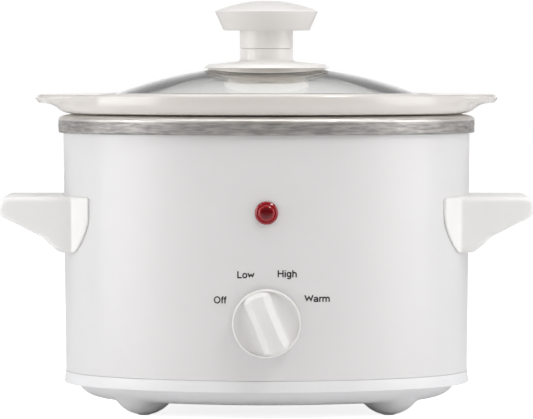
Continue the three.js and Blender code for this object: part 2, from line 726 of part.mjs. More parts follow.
/** Side view of the grip: a wedge with a rounded tip whose underside sweeps down to the flange. */
function gripOutline(rootX) {
  const wallX = shellHalfLength(handleTop);
  const kneeX = SHELL_TOP_HALF_LENGTH + KNEE_REACH;
  const kneeZ = handleTop - KNEE_DROP;
  const noseZ = handleTop - NOSE_HEIGHT;
  const outline = new THREE.Shape();
  outline.moveTo(rootX, handleTop);
  outline.lineTo(handleTipX - NOSE_RUN, handleTop);
  outline.quadraticCurveTo(handleTipX, handleTop, handleTipX, handleTop - NOSE_HEIGHT / 2);
  outline.quadraticCurveTo(handleTipX, noseZ + NOSE_PULL, handleTipX - NOSE_SETBACK, noseZ);
  outline.lineTo(kneeX, kneeZ);
  outline.bezierCurveTo(
    kneeX - KNEE_PULL_X,
    kneeZ - KNEE_PULL_Z,
    wallX + ROOT_PULL_X,
    handleBottom + ROOT_PULL_Z,
    wallX,
    handleBottom,
  );
  outline.lineTo(rootX, handleBottom);
  outline.closePath();
  return outline;
}

/** End view of the flange, square at the top and tapered below. */
function flangeOutline() {
  const shoulderZ = handleTop - FLANGE_SHOULDER;
  const cornerZ = handleBottom + FLANGE_CORNER_RISE;
  const [top, bottom] = [FLANGE_TOP_WIDTH / 2, FLANGE_BOTTOM_WIDTH / 2];
  return polygon([
    [-bottom, handleBottom],
    [bottom, handleBottom],
    [bottom + FLANGE_CORNER_RUN, cornerZ],
    [top, shoulderZ],
    [top, handleTop - FLANGE_TOP_CHAMFER],
    [top - FLANGE_TOP_CHAMFER, handleTop],
    [-top + FLANGE_TOP_CHAMFER, handleTop],
    [-top, handleTop - FLANGE_TOP_CHAMFER],
    [-top, shoulderZ],
    [-bottom - FLANGE_CORNER_RUN, cornerZ],
  ]);
}

const handleCavityX = shellHalfLength(handleTop) + GAP + HANDLE_WALL;
const handleBossEnd = handleCavityX + HANDLE_BOSS_LENGTH;
const handlePilotEnd = handleBossEnd - HANDLE_BOSS_END;

/** The right-hand handle: hollow grip open below, screw bosses, and a flange that hugs the sleeve. */
function handle() {
  const rootX = shellHalfLength(handleBottom) - FLANGE_TOP_WIDTH / 2;
  const levels = [handleBottom - CUT_PAST, handleTop + CUT_PAST];
  const depth = handleTipX - rootX;
  const flange = new THREE.ExtrudeGeometry(flangeOutline(), { depth, bevelEnabled: false });
  flange.rotateX(Math.PI / 2).rotateZ(Math.PI / 2).translate(rootX, 0, 0);
  const hugging = solid(flange).intersect(shellEnvelope(GAP + FLANGE_THICKNESS, ...levels));
  const grip = acrossY(gripOutline(rootX), GRIP_WIDTH, GRIP_ROUND);
  const cavitySide = GRIP_WIDTH / 2 - HANDLE_WALL;
  const cavity = block(
    [handleCavityX, -cavitySide, handleBottom - CUT_PAST],
    [handleTipX - HANDLE_WALL - NOSE_SETBACK, cavitySide, handleTop - HANDLE_WALL],
  );
  const bosses = handleScrewPlaces().map(([y, z]) =>
    bar("x", HANDLE_BOSS_RADIUS, handleCavityX - JOIN_DEPTH, handleBossEnd, { y, z }),
  );
  const pilots = handleScrewPlaces().map(([y, z]) =>
    bar("x", HANDLE_SCREW_RADIUS + GAP, rootX, handlePilotEnd, { y, z }),
  );
  const moulded = bosses.reduce((body, boss) => body.add(boss), grip.subtract(cavity).add(hugging));
  const fitted = moulded.subtract(shellEnvelope(GAP, ...levels));
  return pilots.reduce((body, pilot) => body.subtract(pilot), fitted);
}

/** A screw from inside the sleeve into the right-hand handle's boss. */
function handleScrew([y, z]) {
  const inside = shellHalfLength(z) - SHELL_WALL;
  const headFace = inside - endFallback(inside, Math.abs(y) + SCREW_HEAD_RADIUS) - GAP;
  const head = bar("x", SCREW_HEAD_RADIUS, headFace - SCREW_HEAD, headFace, { y, z });
  const shank = bar("x", HANDLE_SCREW_RADIUS, headFace - SCREW_HEAD / 2, handlePilotEnd - GAP, { y, z });
  return head.add(shank);
}

// ---------------------------------------------------------------- control

const controlFace = -shellHalfDepth(controlZ); // outside of the sleeve at the control
const controlInside = controlFace + SHELL_WALL;
const switchFace = controlInside + sideFallback(shellHalfLength(controlZ), SWITCH_WIDTH / 2) + 2 * GAP;
const switchRear = switchFace + SWITCH_DEPTH;
const knobBack = controlFace - KNOB_STANDOFF;
const knobFront = knobBack - KNOB_HEIGHT;
const shaftFront = knobBack - KNOB_RECESS - SHAFT_IN_KNOB;

/** The switch's case inside the sleeve, with the bushing that passes through it. */
function switchBody() {
  const bushingFront = controlFace - BUSHING_PROUD;
  const box = block(
    [-SWITCH_WIDTH / 2, switchFace, controlZ - SWITCH_HEIGHT / 2],
    [SWITCH_WIDTH / 2, switchRear, controlZ + SWITCH_HEIGHT / 2],
  );
  const bossFace = controlInside + sideFallback(shellHalfLength(controlZ), SWITCH_BOSS_RADIUS) + GAP;
  const boss = bar("y", SWITCH_BOSS_RADIUS, bossFace, switchFace + JOIN_DEPTH, { z: controlZ }, ROUND);
  const bushing = bar("y", BUSHING_RADIUS, bushingFront, switchFace + JOIN_DEPTH, { z: controlZ }, ROUND);
  const boreEnd = switchRear - SWITCH_REAR_WALL;
  const bore = bar("y", SHAFT_RADIUS + GAP, bushingFront - CUT_PAST, boreEnd, { z: controlZ }, ROUND);
  return box.add(boss).add(bushing).subtract(bore);
}

/** Hexagon nut that holds the switch to the sleeve, hidden in the knob's recess. */
function switchNut() {
  const circumradius = NUT_WIDTH / Math.sqrt(3);
  const back = controlFace - GAP;
  const front = back - NUT_THICKNESS;
  const hexagon = bar("y", circumradius, front, back, { z: controlZ }, 6);
  return hexagon.subtract(bar("y", BUSHING_RADIUS + GAP, front - CUT_PAST, 0, { z: controlZ }, ROUND));
}

/** Turns a piece about the control's axis to its place at rest. */
function atRestTurn(body) {
  const geometry = geometryOf(body);
  geometry.translate(0, 0, -controlZ).rotateY(-REST_TURN).translate(0, 0, controlZ);
  return solid(geometry);
}

/** The turning shaft, with a flat at its front end for the knob's clip. */
function switchShaft() {
  const rear = switchRear - SWITCH_REAR_WALL - GAP;
  const shaft = bar("y", SHAFT_RADIUS, shaftFront, rear, { z: controlZ }, ROUND);
  const flat = block(
    [-SHAFT_RADIUS, shaftFront - CUT_PAST, controlZ + SHAFT_FLAT],
    [SHAFT_RADIUS, shaftFront + SHAFT_IN_KNOB, controlZ + SHAFT_RADIUS + CUT_PAST],
  );
  return atRestTurn(shaft.subtract(flat));
}

/** The knob: a disk with a rounded edge, a grip bar across it and a recess behind. */
function controlKnob() {
  const disk = turnedToFront(
    [
      [0, 0],
      [KNOB_RADIUS - KNOB_BACK_CHAMFER, 0],
      [KNOB_RADIUS, KNOB_BACK_CHAMFER],
      ...arc(KNOB_RADIUS - KNOB_EDGE, KNOB_DISK - KNOB_EDGE, KNOB_EDGE, 0, 90, 2),
      [0, KNOB_DISK + KNOB_CROWN],
    ],
    knobBack,
    controlZ,
    FACETS,
  );
  const gripBar = block(
    [-GRIP_BAR_WIDTH / 2, knobFront, controlZ - KNOB_RADIUS],
    [GRIP_BAR_WIDTH / 2, knobBack - KNOB_DISK / 2, controlZ + KNOB_RADIUS],
  );
  const barEnd = KNOB_RADIUS - GRIP_BAR_INSET;
  const barFrontEnd = barEnd - GRIP_BAR_LEAN;
  const barLimit = turnedToFront(
    [
      [0, 0],
      [barEnd, 0],
      [barFrontEnd, KNOB_HEIGHT - GRIP_BAR_CHAMFER],
      [barFrontEnd - GRIP_BAR_CHAMFER, KNOB_HEIGHT],
      [0, KNOB_HEIGHT],
    ],
    knobBack,
    controlZ,
    FACETS,
  );
  const recessFront = knobBack - KNOB_RECESS;
  const recess = bar("y", KNOB_RECESS_RADIUS, recessFront, knobBack + CUT_PAST, { z: controlZ }, ROUND);
  const bore = bar("y", SHAFT_RADIUS + GAP, shaftFront - GAP, knobBack, { z: controlZ }, ROUND);
  return atRestTurn(disk.add(gripBar.intersect(barLimit)).subtract(recess).subtract(bore));
}

/** Leaf spring between the shaft's flat and the knob's bore. */
function knobClip() {
  const bottom = SHAFT_FLAT + GAP;
  const top = bottom + CLIP_THICKNESS;
  const halfWidth = Math.sqrt((SHAFT_RADIUS + GAP) ** 2 - top ** 2) - GAP;
  const leaf = block(
    [-halfWidth, shaftFront, controlZ + bottom],
    [halfWidth, shaftFront + SHAFT_IN_KNOB - GAP, controlZ + top],
  );
  return atRestTurn(leaf);
}

// ---------------------------------------------------------------- power light

const lampFace = -shellHalfDepth(lampZ); // outside of the sleeve at the light
const lensFlangeBack = lampFace - GAP;
const lensTubeRear = lensFlangeBack + LENS_TUBE;
const lampRear = lensTubeRear + LAMP_TAIL;

/** Red lens: bevelled front, flange on the sleeve and a hollow tube through it. */
function indicatorLens() {
  const tubeInside = LENS_TUBE_RADIUS - LENS_WALL;
  const hollow = LENS_TUBE + LENS_PROUD - 2 * LENS_WALL;
  const front = LENS_TUBE + LENS_PROUD;
  const profile = [
    [0, hollow],
    [tubeInside, hollow],
    [tubeInside, 0],
    [LENS_TUBE_RADIUS, 0],
    [LENS_TUBE_RADIUS, LENS_TUBE],
    [LENS_RADIUS, LENS_TUBE],
    [LENS_RADIUS, LENS_TUBE + LENS_FLANGE],
    [LENS_FRONT_RADIUS, front - LENS_EDGE],
    [LENS_FRONT_RADIUS - LENS_EDGE, front],
    [0, front],
  ];
  return turnedToFront(profile, lensTubeRear, lampZ);
}

/** Neon lamp in the lens's tube. */
function neonLamp() {
  const radius = LENS_TUBE_RADIUS - LENS_WALL - GAP;
  const length = LAMP_TAIL + LENS_TUBE + LENS_PROUD - 2 * LENS_WALL - GAP;
  return turnedToFront(
    [[0, 0], [radius, 0], ...arc(0, length - radius, radius, 0, 90)],
    lampRear,
    lampZ,
    SMALL_ROUND,
  );
}

/** Push-on ring that holds the lens from inside the sleeve. */
function lensRetainer() {
  const fallback = sideFallback(shellHalfLength(lampZ), RETAINER_RADIUS);
  const face = lampFace + SHELL_WALL + fallback + GAP;
  const plate = bar("y", RETAINER_RADIUS, face, face + RETAINER_THICKNESS, { z: lampZ }, ROUND);
  const holeEnds = [face - CUT_PAST, face + RETAINER_THICKNESS + CUT_PAST];
  return plate.subtract(bar("y", LENS_TUBE_RADIUS + GAP, ...holeEnds, { z: lampZ }, ROUND));
}

// ---------------------------------------------------------------- heater

const heaterTop = heaterBottom + HEATER_HEIGHT;
const strapBottom = heaterBottom + (HEATER_HEIGHT - STRAP_WIDTH) / 2;
const strapTop = strapBottom + STRAP_WIDTH;
const strapOffset = GAP + HEATER_THICKNESS + GAP;

/** A ring round the well between two heights, from an offset outside it and of a thickness. */
function bandRoundWell(bottom, top, offset, thickness) {
  return oval(
    ring([
      [wellHalfLength(bottom) + offset + thickness, bottom],
      [wellHalfLength(top) + offset + thickness, top],
      [wellHalfLength(top) + offset, top],
      [wellHalfLength(bottom) + offset, bottom],
    ]),
  );
}

/** The gap at the back where a band's two ends face each other. */
function rearSplit(bottom, top) {
  return block(
    [-HEATER_SPLIT / 2, 0, bottom - CUT_PAST],
    [HEATER_SPLIT / 2, SHELL_TOP_HALF_LENGTH, top + CUT_PAST],
  );
}

/** Heating element wrapped round the well. */
function heaterBand() {
  return bandRoundWell(heaterBottom, heaterTop, GAP, HEATER_THICKNESS).subtract(
    rearSplit(heaterBottom, heaterTop),
  );
}

const strapLugStart = wellHalfLength(strapBottom) + strapOffset - PLAN_DIFFERENCE;
const strapLugEnd = strapLugStart + STRAP_THICKNESS + STRAP_LUG;
const strapScrewPlace = { y: strapLugEnd - STRAP_LUG / 2, z: (strapBottom + strapTop) / 2 };

/** Strap that pulls the element against the well, with a lug at each end. */
function heaterStrap() {
  const band = bandRoundWell(strapBottom, strapTop, strapOffset, STRAP_THICKNESS);
  const lugInside = HEATER_SPLIT / 2;
  const lugs = [-1, 1].map((side) => {
    const [near, far] = [side * lugInside, side * (lugInside + STRAP_THICKNESS)];
    return block(
      [Math.min(near, far), strapLugStart + STRAP_THICKNESS / 2, strapBottom],
      [Math.max(near, far), strapLugEnd, strapTop],
    );
  });
  const open = band.subtract(rearSplit(strapBottom, strapTop)).add(lugs[0]).add(lugs[1]);
  const reach = lugInside + STRAP_THICKNESS + CUT_PAST;
  return open.subtract(bar("x", STRAP_SCREW_RADIUS + GAP, -reach, reach, strapScrewPlace));
}

/** Screw across the strap's two lugs. */
function strapScrew() {
  const lugOutside = HEATER_SPLIT / 2 + STRAP_THICKNESS;
  const headFace = -lugOutside - GAP;
  const head = bar("x", STRAP_SCREW_HEAD_RADIUS, headFace - SCREW_HEAD, headFace, strapScrewPlace);
  const tip = lugOutside + STRAP_SCREW_OVERHANG;
  return head.add(bar("x", STRAP_SCREW_RADIUS, headFace - SCREW_HEAD / 2, tip, strapScrewPlace));
}

// ---------------------------------------------------------------- under the well

const bracketFootZ = baseBossTop + GAP;
const bracketTop = wellUnderside - GAP;

/** Reflector plate on the base pan's rib, slotted for the bracket's legs. */
function heatShield() {
  const edge = shellHalfLength(shieldBottom) - SHELL_WALL - GAP;
  const plate = oval([
    [0, shieldBottom],
    [edge, shieldBottom],
    [edge, shieldTop],
    [0, shieldTop],
  ]);
  const slotSide = BRACKET_WIDTH / 2 + GAP;
  const slots = [-1, 1].map((side) => {
    const middle = side * (BRACKET_HALF_SPAN - BRACKET_SHEET / 2);
    const half = BRACKET_SHEET / 2 + GAP;
    return block(
      [middle - half, -slotSide, shieldBottom - CUT_PAST],
      [middle + half, slotSide, shieldTop + CUT_PAST],
    );
  });
  return slots.reduce((body, slot) => body.subtract(slot), plate);
}

/** Bent bracket under the well that the base screws pull on. */
function wellBracket() {
  const outer = BRACKET_HALF_SPAN;
  const inner = outer - BRACKET_SHEET;
  const footEnd = inner + BRACKET_FOOT;
  const footTop = bracketFootZ + BRACKET_SHEET;
  const hat = polygon([
    [-footEnd, bracketFootZ],
    [-inner, bracketFootZ],
    [-inner, bracketTop - BRACKET_SHEET],
    [inner, bracketTop - BRACKET_SHEET],
    [inner, bracketFootZ],
    [footEnd, bracketFootZ],
    [footEnd, footTop],
    [outer, footTop],
    [outer, bracketTop],
    [-outer, bracketTop],
    [-outer, footTop],
    [-footEnd, footTop],
  ]);
  const holes = baseScrewPlaces().map((x) =>
    bar("z", BASE_SCREW_RADIUS + GAP, bracketFootZ - CUT_PAST, footTop + CUT_PAST, { x }),
  );
  return holes.reduce((body, hole) => body.subtract(hole), acrossY(hat, BRACKET_WIDTH));
}

/** Screw up through the pan's boss into a foot of the bracket. */
function baseScrew(x) {
  const headTop = PAN_FLOOR_Z + COUNTERBORE_DEPTH - GAP;
  const head = bar("z", COUNTERBORE_RADIUS - GAP, headTop - SCREW_HEAD, headTop, { x });
  const tip = bracketFootZ + BRACKET_SHEET + BASE_SCREW_PAST_FOOT;
  return head.add(bar("z", BASE_SCREW_RADIUS, headTop - SCREW_HEAD / 2, tip, { x }));
}

const fuseZ = wellUnderside - GAP - FUSE_RADIUS;

/** Over-temperature fuse against the underside of the well. */
function thermalFuse() {
  return bar("x", FUSE_RADIUS, -FUSE_LENGTH / 2, FUSE_LENGTH / 2, { y: FUSE_Y, z: fuseZ });
}

/** Sheet clip that cups the fuse, with a wing on each side against the well. */
function fuseClip() {
  const inside = FUSE_RADIUS + GAP;
  const outside = inside + FUSE_CLIP_SHEET;
  const top = wellUnderside - GAP;
  const outline = new THREE.Shape();
  outline.moveTo(-outside - FUSE_CLIP_WING, top);
  outline.lineTo(-outside - FUSE_CLIP_WING, top - FUSE_CLIP_SHEET);
  outline.lineTo(-outside, top - FUSE_CLIP_SHEET);
  outline.lineTo(-outside, fuseZ);
  outline.absarc(0, fuseZ, outside, Math.PI, 2 * Math.PI);
  outline.lineTo(outside, top - FUSE_CLIP_SHEET);
  outline.lineTo(outside + FUSE_CLIP_WING, top - FUSE_CLIP_SHEET);
  outline.lineTo(outside + FUSE_CLIP_WING, top);
  outline.lineTo(inside, top);
  outline.lineTo(inside, fuseZ);
  outline.absarc(0, fuseZ, inside, 2 * Math.PI, Math.PI, true);
  outline.lineTo(-inside, top);
  outline.closePath();
  const geometry = geometryOf(acrossY(outline, FUSE_CLIP_WIDTH));
  return solid(geometry.rotateZ(Math.PI / 2).translate(0, FUSE_Y, 0));
}

// ---------------------------------------------------------------- mains entry and wiring

const glandFace = shellHalfDepth(glandZ); // outside of the sleeve at the cord's entry

/** Grooved bushing in the rear wall that the mains cord leaves by. */
function cordGland() {
  const inner = GLAND_INNER_FLANGE;
  const fallback = sideFallback(shellHalfLength(glandZ), GLAND_FLANGE_RADIUS) + GAP;
  const neckEnd = inner + fallback + SHELL_WALL + GAP;
  const profile = ring([
    [GLAND_BORE_RADIUS, 0],
    [GLAND_FLANGE_RADIUS, 0],
    [GLAND_FLANGE_RADIUS, inner],
    [GLAND_NECK_RADIUS, inner],
    [GLAND_NECK_RADIUS, neckEnd],
    [GLAND_FLANGE_RADIUS, neckEnd],
    [GLAND_NECK_RADIUS + GLAND_TIP, neckEnd + GLAND_FLANGE],
    [GLAND_BORE_RADIUS, neckEnd + GLAND_FLANGE],
  ]);
  const innerFace = glandFace - SHELL_WALL - fallback - inner;
  return solid(latheGeometry(profile, ROUND).rotateX(-Math.PI / 2).translate(0, innerFace, glandZ));
}

const terminalRear = glandFace - SHELL_WALL - TERMINAL_SETBACK;
const terminalFront = terminalRear - TERMINAL_DEPTH;
const terminalBottom = shieldTop + GAP;
const terminalTop = terminalBottom + TERMINAL_HEIGHT;
const terminalMiddle = (terminalFront + terminalRear) / 2;

/** Ceramic terminal block on the shield. */
function terminalBlock() {
  const body = block(
    [-TERMINAL_LENGTH / 2, terminalFront, terminalBottom],
    [TERMINAL_LENGTH / 2, terminalRear, terminalTop],
  );
  const ends = [terminalBottom - CUT_PAST, terminalTop + CUT_PAST];
  return body.subtract(bar("z", TERMINAL_SCREW_RADIUS + GAP, ...ends, { y: terminalMiddle }));
}

/** Screw that holds the terminal block down. */
function terminalScrew() {
  const place = { y: terminalMiddle };
  const headBottom = terminalTop + GAP;
  const head = bar("z", TERMINAL_SCREW_HEAD_RADIUS, headBottom, headBottom + SCREW_HEAD, place);
  return head.add(bar("z", TERMINAL_SCREW_RADIUS, terminalBottom, headBottom + SCREW_HEAD / 2, place));
}

/** A wire along a smooth curve through points chosen by hand. */
function wire(points) {
  const path = new THREE.CatmullRomCurve3(points.map((point) => new THREE.Vector3(...point)));
  const section = new THREE.Shape().absarc(0, 0, WIRE_RADIUS, 0, 2 * Math.PI);
  const steps = 4 * points.length;
  return solid(new THREE.ExtrudeGeometry(section, { extrudePath: path, steps, curveSegments: 3 }));
}

const wireZ = (shieldTop + bracketTop - BRACKET_SHEET) / 2;
const terminalWireZ = terminalBottom + TERMINAL_WIRE_RISE;
const switchBottom = controlZ - SWITCH_HEIGHT / 2;
const switchTop = controlZ + SWITCH_HEIGHT / 2;
const switchPinY = switchRear - SWITCH_DEPTH / 3;

/** From one end of the terminal block to the underside of the switch. */
function wireLive() {
  const approachX = (WIRE_SPREAD + SWITCH_PIN_X) / 2;
  return wire([
    [TERMINAL_POLE, terminalFront - WIRE_TIP_GAP, terminalWireZ],
    [TERMINAL_POLE, terminalFront - WIRE_LEAD, terminalWireZ],
    [WIRE_SPREAD, 0, wireZ],
    [approachX, switchPinY + SWITCH_APPROACH, wireZ],
    [SWITCH_PIN_X, switchPinY, switchBottom - WIRE_LEAD],
    [SWITCH_PIN_X, switchPinY, switchBottom - WIRE_TIP_GAP],
  ]);
}

/** Where a wire meets the heater's lower edge at a distance x from the middle of the front. */
function heaterEdge(x) {
  const halfLength = wellHalfLength(heaterBottom) + GAP + HEATER_THICKNESS / 2;
  const radius = halfLength - PLAN_DIFFERENCE + sideArcCentre;
  return sideArcCentre - Math.sqrt(radius ** 2 - x ** 2);
}

/** From the other end of the block to the lower edge of the heater. */
function wireNeutral() {
  const y = heaterEdge(NEUTRAL_END_X);
  return wire([
    [-TERMINAL_POLE, terminalFront - WIRE_TIP_GAP, terminalWireZ],
    [-TERMINAL_POLE, terminalFront - WIRE_LEAD, terminalWireZ],
    [-WIRE_SPREAD, 0, wireZ],
    [-NEUTRAL_TURN, -NEUTRAL_TURN, wireZ],
    [NEUTRAL_END_X, y - 2 * WIRE_RADIUS, (wireZ + heaterBottom) / 2],
    [NEUTRAL_END_X, y, heaterBottom - WIRE_LEAD],
    [NEUTRAL_END_X, y, heaterBottom - WIRE_TIP_GAP],
  ]);
}

/** From the side of the switch up to the lower edge of the heater. */
function wireHeater() {
  const y = heaterEdge(HEATER_LEAD_X);
  const pinX = SWITCH_WIDTH / 2;
  const pinZ = controlZ - SWITCH_PIN_DROP;
  return wire([
    [pinX + WIRE_TIP_GAP, switchPinY, pinZ],
    [pinX + WIRE_LEAD, switchPinY, pinZ],
    [HEATER_LEAD_X, y - WIRE_LEAD, (pinZ + heaterBottom) / 2],
    [HEATER_LEAD_X, y, heaterBottom - WIRE_TIP_GAP],
  ]);
}

/** From the top of the switch up to the neon lamp. */
function wireLamp() {
  const lampRadius = LENS_TUBE_RADIUS - LENS_WALL - GAP;
  const lampY = lampRear - LAMP_TAIL / 2;
  return wire([
    [0, switchPinY, switchTop + WIRE_TIP_GAP],
    [0, switchPinY, switchTop + WIRE_LEAD],
    [0, lampY - 2 * WIRE_RADIUS, (controlZ + lampZ) / 2 + LAMP_WIRE_SLACK],
    [0, lampY, lampZ - lampRadius - WIRE_TIP_GAP],
  ]);
}

// ---------------------------------------------------------------- assembly

function finish(color, roughness, metalness = 0) {
  return { color, roughness, metalness };
}

const WHITE_PAINT = finish(0xf1f0f0, 0.3);
const WHITE_PLASTIC = finish(0xf0efec, 0.35);
const WHITE_MELAMINE = finish(0xf3efec, 0.2);
const BRIGHT_SHEET = finish(0xb9b7b4, 0.4, 0.9);
const STONEWARE = finish(0xf2eeea, 0.15);
const CLEAR_GLASS = finish(0xdfe6e4, 0.05);
const PALE_PLASTIC = finish(0xe6dfd8, 0.4);
const RED_LENS = finish(0xa50f1c, 0.15);
const DARK_RUBBER = finish(0x3a3a3a, 0.8);
const ZINC = finish(0xc0c0bd, 0.4, 0.9);
const MICA = finish(0xb5a184, 0.7);
const BROWN_PHENOLIC = finish(0x4b3a30, 0.5);
const BRASS = finish(0xc9a14f, 0.35, 0.9);
const CERAMIC = finish(0xe9e5db, 0.6);
const LAMP_GLASS = finish(0xf0c9a0, 0.1);
const BLACK_WIRE = finish(0x1d1d1d, 0.6);
const WHITE_WIRE = finish(0xe4e2dc, 0.6);

const cooker = new THREE.Group();

/** Adds a named piece, turned about the vertical axis through the middle where one is mirrored. */
function add(name, body, look, turn = 0) {
  const mesh = new THREE.Mesh(geometryOf(body), new THREE.MeshStandardMaterial(look));
  mesh.name = name;
  mesh.rotation.z = turn;
  cooker.add(mesh);
}

add("outer_shell", outerShell(), WHITE_PAINT);
add("well", well(), BRIGHT_SHEET);
add("base_pan", basePan(), WHITE_PLASTIC);
footPlaces().forEach((place, i) => add(`foot_pad_${i + 1}`, footPad(place), DARK_RUBBER));

const HALF_TURN = Math.PI;
const sides = { right: 0, left: HALF_TURN };
for (const [side, turn] of Object.entries(sides)) {
  add(`handle_${side}`, handle(), WHITE_PLASTIC, turn);
  handleScrewPlaces().forEach((place, i) => {
    add(`handle_screw_${side}_${i + 1}`, handleScrew(place), ZINC, turn);
  });
}

add("crock", crock(), STONEWARE);
add("lid_glass", lidGlass(), CLEAR_GLASS);
add("lid_knob_collar", lidKnobCollar(), WHITE_MELAMINE);
add("lid_knob_cap", lidKnobCap(), WHITE_MELAMINE);
add("lid_washer", lidWasher(), PALE_PLASTIC);
add("lid_screw", lidScrew(), ZINC);

add("switch_body", switchBody(), BROWN_PHENOLIC);
add("switch_nut", switchNut(), ZINC);
add("switch_shaft", switchShaft(), BRASS);
add("control_knob", controlKnob(), WHITE_PLASTIC);
add("knob_clip", knobClip(), ZINC);

add("indicator_lens", indicatorLens(), RED_LENS);
add("neon_lamp", neonLamp(), LAMP_GLASS);
add("lens_retainer", lensRetainer(), ZINC);

add("heater_band", heaterBand(), MICA);
add("heater_strap", heaterStrap(), ZINC);
add("strap_screw", strapScrew(), ZINC);
add("heat_shield", heatShield(), BRIGHT_SHEET);
add("well_bracket", wellBracket(), ZINC);
baseScrewPlaces().forEach((x, i) => add(`base_screw_${i + 1}`, baseScrew(x), ZINC));
add("thermal_fuse", thermalFuse(), CERAMIC);
add("fuse_clip", fuseClip(), ZINC);

add("cord_gland", cordGland(), WHITE_PLASTIC);
add("terminal_block", terminalBlock(), CERAMIC);
add("terminal_screw", terminalScrew(), ZINC);
add("wire_live", wireLive(), BLACK_WIRE);
add("wire_neutral", wireNeutral(), WHITE_WIRE);
add("wire_heater", wireHeater(), WHITE_WIRE);
add("wire_lamp", wireLamp(), BLACK_WIRE);

const bounds = new THREE.Box3().setFromObject(cooker, true);
cooker.position.y = -(bounds.min.y + bounds.max.y) / 2;

export default cooker;
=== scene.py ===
"""A small oval slow cooker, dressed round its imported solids.

Shapes are worked out in millimetres, +X to the right-hand handle, -Y to the front and +Z up,
and become metres where a mesh is made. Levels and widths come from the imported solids' boxes.
"""

import json
from math import atan2, copysign, cos, dist, hypot, pi, radians, sin, sqrt, tan

import bmesh
import bpy
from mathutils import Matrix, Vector, noise


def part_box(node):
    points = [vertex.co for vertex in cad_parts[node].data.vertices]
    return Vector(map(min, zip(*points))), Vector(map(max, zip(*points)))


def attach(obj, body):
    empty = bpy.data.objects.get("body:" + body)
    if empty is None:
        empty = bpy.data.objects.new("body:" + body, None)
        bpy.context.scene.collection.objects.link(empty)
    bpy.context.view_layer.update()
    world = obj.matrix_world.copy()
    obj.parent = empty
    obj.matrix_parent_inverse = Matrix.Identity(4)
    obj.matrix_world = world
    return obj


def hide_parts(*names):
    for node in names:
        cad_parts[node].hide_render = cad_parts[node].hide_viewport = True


MM = 0.001
FINE = 224  # facets round an oval piece
TURNED = 96  # facets round a turned piece
ARC_STEPS = 5  # facets of a rounded corner
SHARP = radians(32)  # edges that fold by more stay crisp

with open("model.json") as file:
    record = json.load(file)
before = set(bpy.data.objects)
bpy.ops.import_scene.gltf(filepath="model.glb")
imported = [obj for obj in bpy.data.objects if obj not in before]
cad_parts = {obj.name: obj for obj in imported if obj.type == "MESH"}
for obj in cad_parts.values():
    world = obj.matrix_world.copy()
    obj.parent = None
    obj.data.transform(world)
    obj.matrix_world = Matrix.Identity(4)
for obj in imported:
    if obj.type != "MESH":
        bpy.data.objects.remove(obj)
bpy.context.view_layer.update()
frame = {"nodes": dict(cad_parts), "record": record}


# ---- sizes taken from the solids


def box(node):
    """Lowest and highest corner of a solid, in millimetres."""
    low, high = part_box(node)
    return low / MM, high / MM


SHELL_LOW, SHELL_HIGH = box("outer_shell")
WELL_LOW, WELL_HIGH = box("well")
PAN_HIGH = box("base_pan")[1]
CROCK_LOW, CROCK_HIGH = box("crock")
GLASS_LOW, GLASS_HIGH = box("lid_glass")
COLLAR_LOW, COLLAR_HIGH = box("lid_knob_collar")
CAP_LOW, CAP_HIGH = box("lid_knob_cap")
WASHER_LOW, WASHER_HIGH = box("lid_washer")
LID_SCREW_LOW, LID_SCREW_HIGH = box("lid_screw")
HANDLE_LOW, HANDLE_HIGH = box("handle_right")
KNOB_LOW, KNOB_HIGH = box("control_knob")
LENS_LOW, LENS_HIGH = box("indicator_lens")
GLAND_LOW, GLAND_HIGH = box("cord_gland")
PAD_LOW, PAD_HIGH = box("foot_pad_4")
BASE_SCREW_LOW, BASE_SCREW_HIGH = box("base_screw_2")

MIDDLE_Y = (SHELL_LOW.y + SHELL_HIGH.y) / 2
CONTROL_Z = (KNOB_LOW.z + KNOB_HIGH.z) / 2
LENS_Z = (LENS_LOW.z + LENS_HIGH.z) / 2
GLAND_Z = (GLAND_LOW.z + GLAND_HIGH.z) / 2
PLAN_DIFFERENCE = SHELL_HIGH.x - (SHELL_HIGH.y - SHELL_LOW.y) / 2
ARC_TURN = radians(54)
END_CENTRE = PLAN_DIFFERENCE / (1 + tan(ARC_TURN) - 1 / cos(ARC_TURN))
SIDE_CENTRE = END_CENTRE * tan(ARC_TURN)
CORE = 45  # inside it an oval keeps its shape and shrinks to the middle
SHELL_TAPER = 1.2
SHELL_WALL = 1.0


def shell_reach(z):
    """Half length of the sleeve's outside at a height."""
    share = (z - SHELL_LOW.z) / (SHELL_HIGH.z - SHELL_LOW.z)
    return SHELL_HIGH.x - SHELL_TAPER * (1 - share)


def oval_point(half_length, angle, core=CORE):
    """Where the oval of a half length has its outward normal at an angle."""
    reach = max(half_length, core)
    nx, ny = cos(angle), sin(angle)
    if abs(ny) < sin(ARC_TURN):
        radius = reach - END_CENTRE
        x, y = radius * nx + copysign(END_CENTRE, nx), radius * ny
    else:
        radius = reach - PLAN_DIFFERENCE + SIDE_CENTRE
        x, y = radius * nx, radius * ny - copysign(SIDE_CENTRE, ny)
    share = half_length / reach
    return x * share, MIDDLE_Y + y * share


def shell_front(x, z):
    """Y of the sleeve's front at a place."""
    radius = shell_reach(z) - PLAN_DIFFERENCE + SIDE_CENTRE
    return MIDDLE_Y + SIDE_CENTRE - sqrt(radius * radius - x * x)


# ---- profiles and outlines


def smooth(low, high, value):
    """Eased step from 0 at low to 1 at high."""
    share = min(1, max(0, (value - low) / (high - low)))
    return share * share * (3 - 2 * share)


